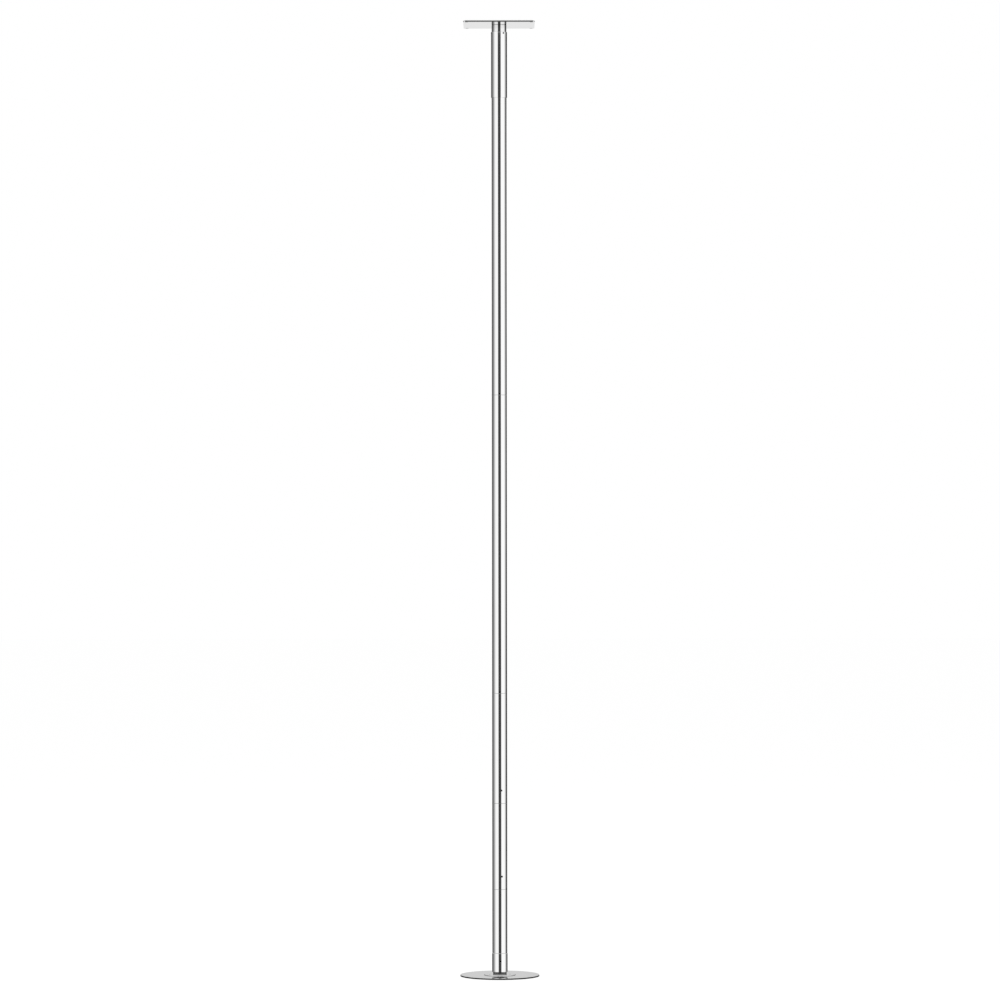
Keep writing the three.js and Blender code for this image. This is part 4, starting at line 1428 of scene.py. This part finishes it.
@dataclass
class SwivelHead:
    """The neck that turns with the pole, and the stud that hangs from the ceiling."""

    thrust_radii: tuple[float, float] = (10 * MM, 17.5 * MM)
    ball_radii: tuple[float, float] = (10 * MM, 18.5 * MM)
    neck_chamfer: float = 0.4 * MM
    land_clearance: float = 1.5 * MM
    land_length: float = 7.7 * MM
    collar_height: float = 9 * MM
    groove_depth: float = 1 * MM

    def build(self, shop: Finisher) -> None:
        """Make every piece of the head.

        Args:
            shop: What finishes them.
        """
        self.build_neck(shop)
        self.build_stud(shop)
        ThrustBearing("head_thrust", *self.thrust_radii).build(shop)
        BallBearing("head_bearing", *self.ball_radii).build(shop)

    def build_neck(self, shop: Finisher) -> None:
        """Make the neck, with the pockets of both bearings.

        Args:
            shop: What finishes it.
        """
        neck, rings = Extent.of("neck_housing"), Extent.of("head_bearing_outer_ring")
        thrust_pocket, ball_pocket = self.thrust_radii[1] + FIT, self.ball_radii[1] + FIT
        land = self.ball_radii[0] - FIT + self.land_clearance
        land_low = rings.high.z + FACE_GAP
        land_high = land_low + self.land_length
        low, high, cut = neck.low.z, neck.high.z, self.neck_chamfer
        # The neck takes the darker copy of the chrome, painted shade under the ceiling plate.
        shop.turn("neck_housing", [
            (ball_pocket, low), (neck.radius - cut, low), (neck.radius, low + cut),
            (neck.radius, high - cut), (neck.radius - cut, high), (thrust_pocket, high),
            (thrust_pocket, land_high), (land, land_high), (land, land_low),
            (ball_pocket, land_low)], "neck_chrome_painted_shade")

    def build_stud(self, shop: Finisher) -> None:
        """Make the stud and the clip that holds the lower bearing on it.

        Args:
            shop: What finishes them.
        """
        stud, clip, bolt = (Extent.of(n) for n in ("ceiling_stud", "stud_clip", "stud_bolt"))
        plate = Extent.of("ceiling_plate")
        journal = self.ball_radii[0] - FIT
        groove = journal - self.groove_depth
        groove_low, groove_high = clip.low.z - FACE_GAP, clip.high.z + FACE_GAP
        collar = self.thrust_radii[1] - FIT
        shoulder = plate.low.z - self.collar_height
        body = solid("ceiling_stud_turned", spun([
            (0.0, stud.low.z), (groove, stud.low.z), (journal, stud.low.z + self.groove_depth),
            (journal, groove_low), (groove, groove_low), (groove, groove_high),
            (journal, groove_high), (journal, shoulder), (collar, shoulder),
            (collar, stud.high.z), (0.0, stud.high.z)]))
        drilled(body, spun(
            disc(bolt.radius / SINK_HEAD_SHARE + FIT, bolt.low.z - FIT, stud.high.z + OVERRUN),
            HOLE_SIDES))
        shop.dress(body, "ceiling_stud", "turned_steel")
        SpringClip("stud_clip", groove + FIT).build(shop)


@dataclass
class CeilingPlate:
    """The square plate under the ceiling, its pad and its centre bolt."""

    corner: float = 6 * MM
    hole: float = 2.75 * MM
    sink: float = 5 * MM
    hole_inset: float = 10 * MM
    # Thickness of the black sheets of painted shade in the countersinks.
    shade_sheet_thickness: float = 0.1 * MM
    plate_edge: float = 0.5 * MM
    pad_edge: float = 0.25 * MM
    corner_segments: int = 12

    def square(self, name: str, node: str, edge: float) -> bpy.types.Object:
        """Make a square sheet with round corners where its node lies.

        Args:
            name: The object's name.
            node: The node that it stands for.
            edge: How far its rims are eased.

        Returns:
            The sheet.
        """
        extent = Extent.of(node)
        size = extent.high - extent.low
        bm = bmesh.new()
        bmesh.ops.create_cube(bm, size=1.0)
        bmesh.ops.scale(bm, verts=bm.verts, vec=size)
        bmesh.ops.translate(bm, verts=bm.verts, vec=extent.centre)
        upright = [e for e in bm.edges if abs(e.verts[0].co.z - e.verts[1].co.z) > size.z / 2]
        bmesh.ops.bevel(
            bm, geom=upright, offset=self.corner, offset_type="OFFSET",
            segments=self.corner_segments, profile=0.5, affect="EDGES", material=-1)
        return solid(name, eased(bm, edge))

    def sink_painted_shade(self, low: float, at: Vector) -> bmesh.types.BMesh:
        """Make the painted shade in one countersink: a thin black sheet on its wall, where the hole
        is in shade.

        Args:
            low: The plate's underside.
            at: Where the countersink is, of which X and Y count.

        Returns:
            The sheet of painted shade.
        """
        thick, slope = self.shade_sheet_thickness, self.sink - self.hole
        bm = spun([
            (self.sink - 2 * thick, low + thick), (self.sink - thick, low + thick),
            (self.hole, low + slope), (self.hole - thick, low + slope)], HOLE_SIDES)
        bmesh.ops.translate(bm, verts=bm.verts, vec=(at.x, at.y, 0))
        return bm

    def build(self, shop: Finisher) -> None:
        """Make the plate, the pad and the bolt.

        Args:
            shop: What finishes them.
        """
        plate, pad, bolt = (
            Extent.of(n) for n in ("ceiling_plate", "ceiling_pad", "stud_bolt"))
        reach = plate.radius - self.hole_inset
        corners = [Vector((sx * reach, sy * reach, 0)) for sx in (-1, 1) for sy in (-1, 1)]
        sheet = self.square("ceiling_plate_milled", "ceiling_plate", self.plate_edge)
        drilled(
            sheet,
            sunk_hole(
                bolt.radius / SINK_HEAD_SHARE + FIT, bolt.radius + FIT, plate.low.z, plate.high.z,
                Vector((0, 0, 0)), mouth_up=True),
            *(sunk_hole(self.hole, self.sink, plate.low.z, plate.high.z, at, mouth_up=False)
              for at in corners))
        shop.dress(sheet, "ceiling_plate", "ceiling_polish")
        # Each countersink wall gets a black sheet: painted shade for the dark inside of the hole.
        for i, at in enumerate(corners):
            sink_shade = self.sink_painted_shade(plate.low.z, at)
            shop.dress(
                solid(f"ceiling_sink_painted_shade_{i + 1}", sink_shade), "ceiling_plate", "painted_recess_shade",
                stands_for=False)

        cushion = self.square("ceiling_pad_cut", "ceiling_pad", self.pad_edge)
        drilled(cushion, *(
            plain_hole(self.hole, pad.low.z, pad.high.z, at) for at in corners))
        shop.dress(cushion, "ceiling_pad", "pad_rubber")
        shop.dress(sunk_screw("stud_bolt", head_up=True), "stud_bolt", "black_oxide")


@dataclass
class CoverSleeve:
    """The sleeve over the telescoping joint, with its three screws."""

    wall: float = 1.2 * MM
    edge: float = 0.4 * MM
    screws: int = 3
    screw_radius: float = 2.25 * MM
    screw_sunk: float = 0.2 * MM
    near_hole: float = 3.5 * MM
    hole_flare: float = 0.1 * MM

    def build(self, shop: Finisher) -> None:
        """Make the sleeve and its screws.

        Args:
            shop: What finishes them.
        """
        sleeve = Extent.of("cover_sleeve")
        bore = sleeve.radius - self.wall
        row = Extent.of("sleeve_screw_1").centre.z - self.near_hole
        tube = solid("cover_sleeve_drawn", eased(spun([
            (bore, sleeve.low.z), (sleeve.radius, sleeve.low.z), (sleeve.radius, row),
            (sleeve.radius, sleeve.high.z), (bore, sleeve.high.z), (bore, row)]), self.edge))
        for i in range(self.screws):
            node = f"sleeve_screw_{i + 1}"
            screw = Extent.of(node)
            drilled(tube, screw_hole(
                screw, self.screw_radius + FIT, bore - OVERRUN, sleeve.radius, self.hole_flare))
            head = sleeve.radius - self.screw_sunk
            shop.screw(node, self.screw_radius, (head - bore) / 2, (head + bore) / 2)
        shop.dress(tube, "cover_sleeve", "tube_chrome")


def bare_material(piece: bpy.types.Object) -> ShaderTree:
    """Give a piece of the studio a material of its own, still without nodes.

    Args:
        piece: The piece, whose name the material takes.

    Returns:
        The material's node tree.
    """
    material = bpy.data.materials.new(piece.name)
    material.use_nodes = True
    material.node_tree.nodes.clear()
    piece.data.materials.append(material)
    return ShaderTree(material.node_tree)


@dataclass(frozen=True)
class Card:
    """One card of the studio, between two angles, with its level at either end."""

    start: float
    end: float
    first: float
    last: float


@dataclass
class Studio:
    """The camera, the pale floor, the soft light and the cards round the pole."""

    distance: float = 14.1
    view_depth: float = 10.0
    eye_height: float = 1.479
    aside: float = 1.75 * MM
    lens: float = 170.35
    sensor: float = 36.0
    shift_up: float = -0.02016
    roll: float = math.radians(0.054)
    floor_side: float = 60.0
    floor_tone: float = 0.92
    floor_glow: float = 0.8
    floor_white: float = 1.06
    ambient: float = 0.8
    lamp_place: tuple[float, float, float] = (-2.5, -3.5, 5.5)
    lamp_size: float = 3.0
    lamp_power: float = 220.0
    soft_edge: float = 2.0
    mirror_strength: float = 1.04
    even_level: float = 0.85
    even_above: tuple[float, float] = (5.6, 9.0)
    even_below: tuple[float, float] = (-40.0, -62.0)
    # The dark ring of painted shadow round the base, which only the rim's reflection shows.
    collar_gap: float = 0.3 * MM
    collar_wall: float = 0.4 * MM
    collar_foot: float = 0.2 * MM
    collar_drop: float = 0.1 * MM
    reflected_shadow_level: float = 0.02
    upright_cards: tuple[Card, ...] = (
        Card(-180.0, -162.0, 0.84, 0.84),
        Card(-162.0, -128.0, 0.05, 0.05),
        Card(-128.0, -100.0, 0.17, 0.21),
        Card(-100.0, -60.0, 0.2, 0.92),
        Card(-60.0, -18.0, 0.96, 0.96),
        Card(-18.0, 22.0, 0.05, 0.05),
        Card(22.0, 29.0, 0.4, 1.0),
        Card(29.0, 78.0, 1.0, 1.0),
        Card(78.0, 120.0, 0.96, 0.08),
        Card(120.0, 162.0, 0.03, 0.03),
        Card(162.0, 180.0, 0.84, 0.84),
    )
    level_cards: tuple[Card, ...] = (
        Card(-90.0, -38.0, 0.15, 0.15),
        Card(-38.0, 90.0, 1.0, 1.0),
    )

    def build_camera(self) -> None:
        """Set up the camera at the photograph's angle."""
        data = bpy.data.cameras.new("camera")
        data.sensor_width = self.sensor
        data.lens = self.lens
        data.shift_y = self.shift_up
        data.clip_end = self.view_depth * self.distance
        camera = bpy.data.objects.new("camera", data)
        bpy.context.scene.collection.objects.link(camera)
        camera.location = (self.aside, -self.distance, self.eye_height)
        camera.rotation_euler = (math.pi / 2, self.roll, 0)
        bpy.context.scene.camera = camera

    def build_world(self) -> None:
        """Make the white surround, with the cards that polished metal mirrors."""
        world = bpy.data.worlds.new("studio")
        world.use_nodes = True
        bpy.context.scene.world = world
        world.node_tree.nodes.clear()
        tree = ShaderTree(world.node_tree)
        mirrored = tree.node("Background", {
            "Color": self.card_tones(tree), "Strength": self.mirror_strength})
        plain = tree.node("Background", {"Color": grey(1.0), "Strength": self.ambient})
        seen = tree.node("Background", {"Color": grey(1.0)})
        rays = tree.node("LightPath").outputs
        glossy = tree.node("MixShader", {
            "Fac": rays["Is Glossy Ray"], 1: plain.outputs[0], 2: mirrored.outputs[0]})
        camera = tree.node("MixShader", {
            "Fac": rays["Is Camera Ray"], 1: glossy.outputs[0], 2: seen.outputs[0]})
        tree.node("OutputWorld", {"Surface": camera.outputs[0]})

    def card_tones(self, tree: ShaderTree) -> bpy.types.NodeSocket:
        """Work out which card a mirrored ray meets, from its direction.

        Args:
            tree: The world's node tree.

        Returns:
            The output that gives the tone. Steep rays get one even tone instead of the
            upright cards.
        """
        place = tree.node("TexCoord")
        parts = tree.node("SeparateXYZ", {"Vector": place.outputs["Generated"]}).outputs
        towards = tree.node("Math", {0: parts["Y"], 1: -1.0}, operation="MULTIPLY")
        angle = tree.node("Math", {0: parts["X"], 1: towards.outputs[0]}, operation="ARCTAN2")
        rise = tree.node("Math", {0: parts["Z"]}, operation="ARCSINE").outputs[0]
        fades = [
            tree.node("MapRange", {
                "Value": rise, "From Min": math.radians(near), "From Max": math.radians(far)})
            for near, far in (self.even_above, self.even_below)]
        away = tree.node("Math", {
            side: fade.outputs["Result"] for side, fade in enumerate(fades)}, operation="MAXIMUM")
        even = tree.node("Mix", {
            "Factor": away.outputs[0],
            "A": self.card_ramp(tree, angle.outputs[0], self.upright_cards),
            "B": grey(self.even_level)}, data_type="RGBA")
        shaded = tree.node("Mix", {
            "Factor": 1.0, "A": even.outputs["Result"],
            "B": self.card_ramp(tree, rise, self.level_cards),
        }, data_type="RGBA", blend_type="MULTIPLY")
        return shaded.outputs["Result"]

    def card_ramp(
        self, tree: ShaderTree, turn: bpy.types.NodeSocket, cards: tuple[Card, ...],
    ) -> bpy.types.NodeSocket:
        """Add the ramp that gives the tone of a row of cards.

        Args:
            tree: The world's node tree.
            turn: The output that gives the angle, in radians.
            cards: The cards, each starting where the one before it ends.

        Returns:
            The output that gives the tone.
        """
        share = tree.node("MapRange", {
            "Value": turn, "From Min": math.radians(cards[0].start),
            "From Max": math.radians(cards[-1].end)})
        made = tree.node("ValToRGB", {"Fac": share.outputs["Result"]})
        ramp = made.color_ramp
        start, span = cards[0].start, cards[-1].end - cards[0].start
        inset = self.soft_edge / 2
        stops = []
        for card in cards:
            stops.append(((card.start + inset - start) / span, card.first))
            stops.append(((card.end - inset - start) / span, card.last))
        while len(ramp.elements) > 1:
            ramp.elements.remove(ramp.elements[-1])
        ramp.elements[0].position = stops[0][0]
        ramp.elements[0].color = grey(stops[0][1])
        for position, level in stops[1:]:
            ramp.elements.new(position).color = grey(level)
        return made.outputs["Color"]

    def build_floor(self) -> None:
        """Lay the pale floor, which keeps the pole's shadow."""
        bm = bmesh.new()
        bmesh.ops.create_grid(bm, x_segments=1, y_segments=1, size=self.floor_side / 2)
        floor = solid("studio_floor", bm)
        tree = bare_material(floor)
        matt = tree.node("BsdfDiffuse", {"Color": grey(self.floor_tone)})
        glow = tree.node("Emission", {"Color": grey(1.0), "Strength": self.floor_white})
        rays = tree.node("LightPath")
        part = tree.node(
            "Math", {0: rays.outputs["Is Camera Ray"], 1: self.floor_glow}, operation="MULTIPLY")
        mixed = tree.node("MixShader", {
            "Fac": part.outputs[0], 1: matt.outputs[0], 2: glow.outputs[0]})
        tree.node("OutputMaterial", {"Surface": mixed.outputs[0]})
        floor.visible_glossy = False

    def build_reflected_shadow(self) -> None:
        """Stand a dark ring round the base that only reflections see: painted shadow, the floor's
        shade round the base that the polished rim mirrors.
        """
        plate = Extent.of("base_plate")
        inner = plate.radius + self.collar_gap
        collar = solid("studio_reflected_shadow", spun(ring(
            inner, inner + self.collar_wall, self.collar_foot,
            plate.high.z - self.collar_drop)))
        tree = bare_material(collar)
        shade = tree.node("Emission", {"Color": grey(1.0), "Strength": self.reflected_shadow_level})
        tree.node("OutputMaterial", {"Surface": shade.outputs[0]})
        for kind in ("camera", "diffuse", "shadow", "transmission", "volume_scatter"):
            setattr(collar, f"visible_{kind}", False)

    def build_lamp(self) -> None:
        """Hang the soft lamp that lights the floor and the rubber."""
        data = bpy.data.lights.new("soft_lamp", "AREA")
        data.size = self.lamp_size
        data.energy = self.lamp_power
        lamp = bpy.data.objects.new("soft_lamp", data)
        bpy.context.scene.collection.objects.link(lamp)
        lamp.location = self.lamp_place
        lamp.rotation_euler = (-Vector(self.lamp_place)).to_track_quat("-Z", "Y").to_euler()
        lamp.visible_glossy = False
        lamp.visible_camera = False

    def build(self) -> None:
        """Set up the whole studio, the camera first."""
        self.build_camera()
        self.build_world()
        self.build_floor()
        self.build_reflected_shadow()
        self.build_lamp()
        bpy.context.scene.view_settings.view_transform = "Standard"


def main() -> None:
    """Build the studio and every sub-assembly of the pole, from the floor up."""
    logging.basicConfig(level=logging.INFO, format="%(message)s")
    Studio().build()
    shop = Finisher()
    for assembly in (
        FloorBase(), ScrewJack(), BearingFoot(), PoleTubes(), TopPost(), SwivelHead(),
        CeilingPlate(), CoverSleeve(),
    ):
        assembly.build(shop)
        log.info("%s is finished", type(assembly).__name__)


if __name__ == "__main__":
    main()
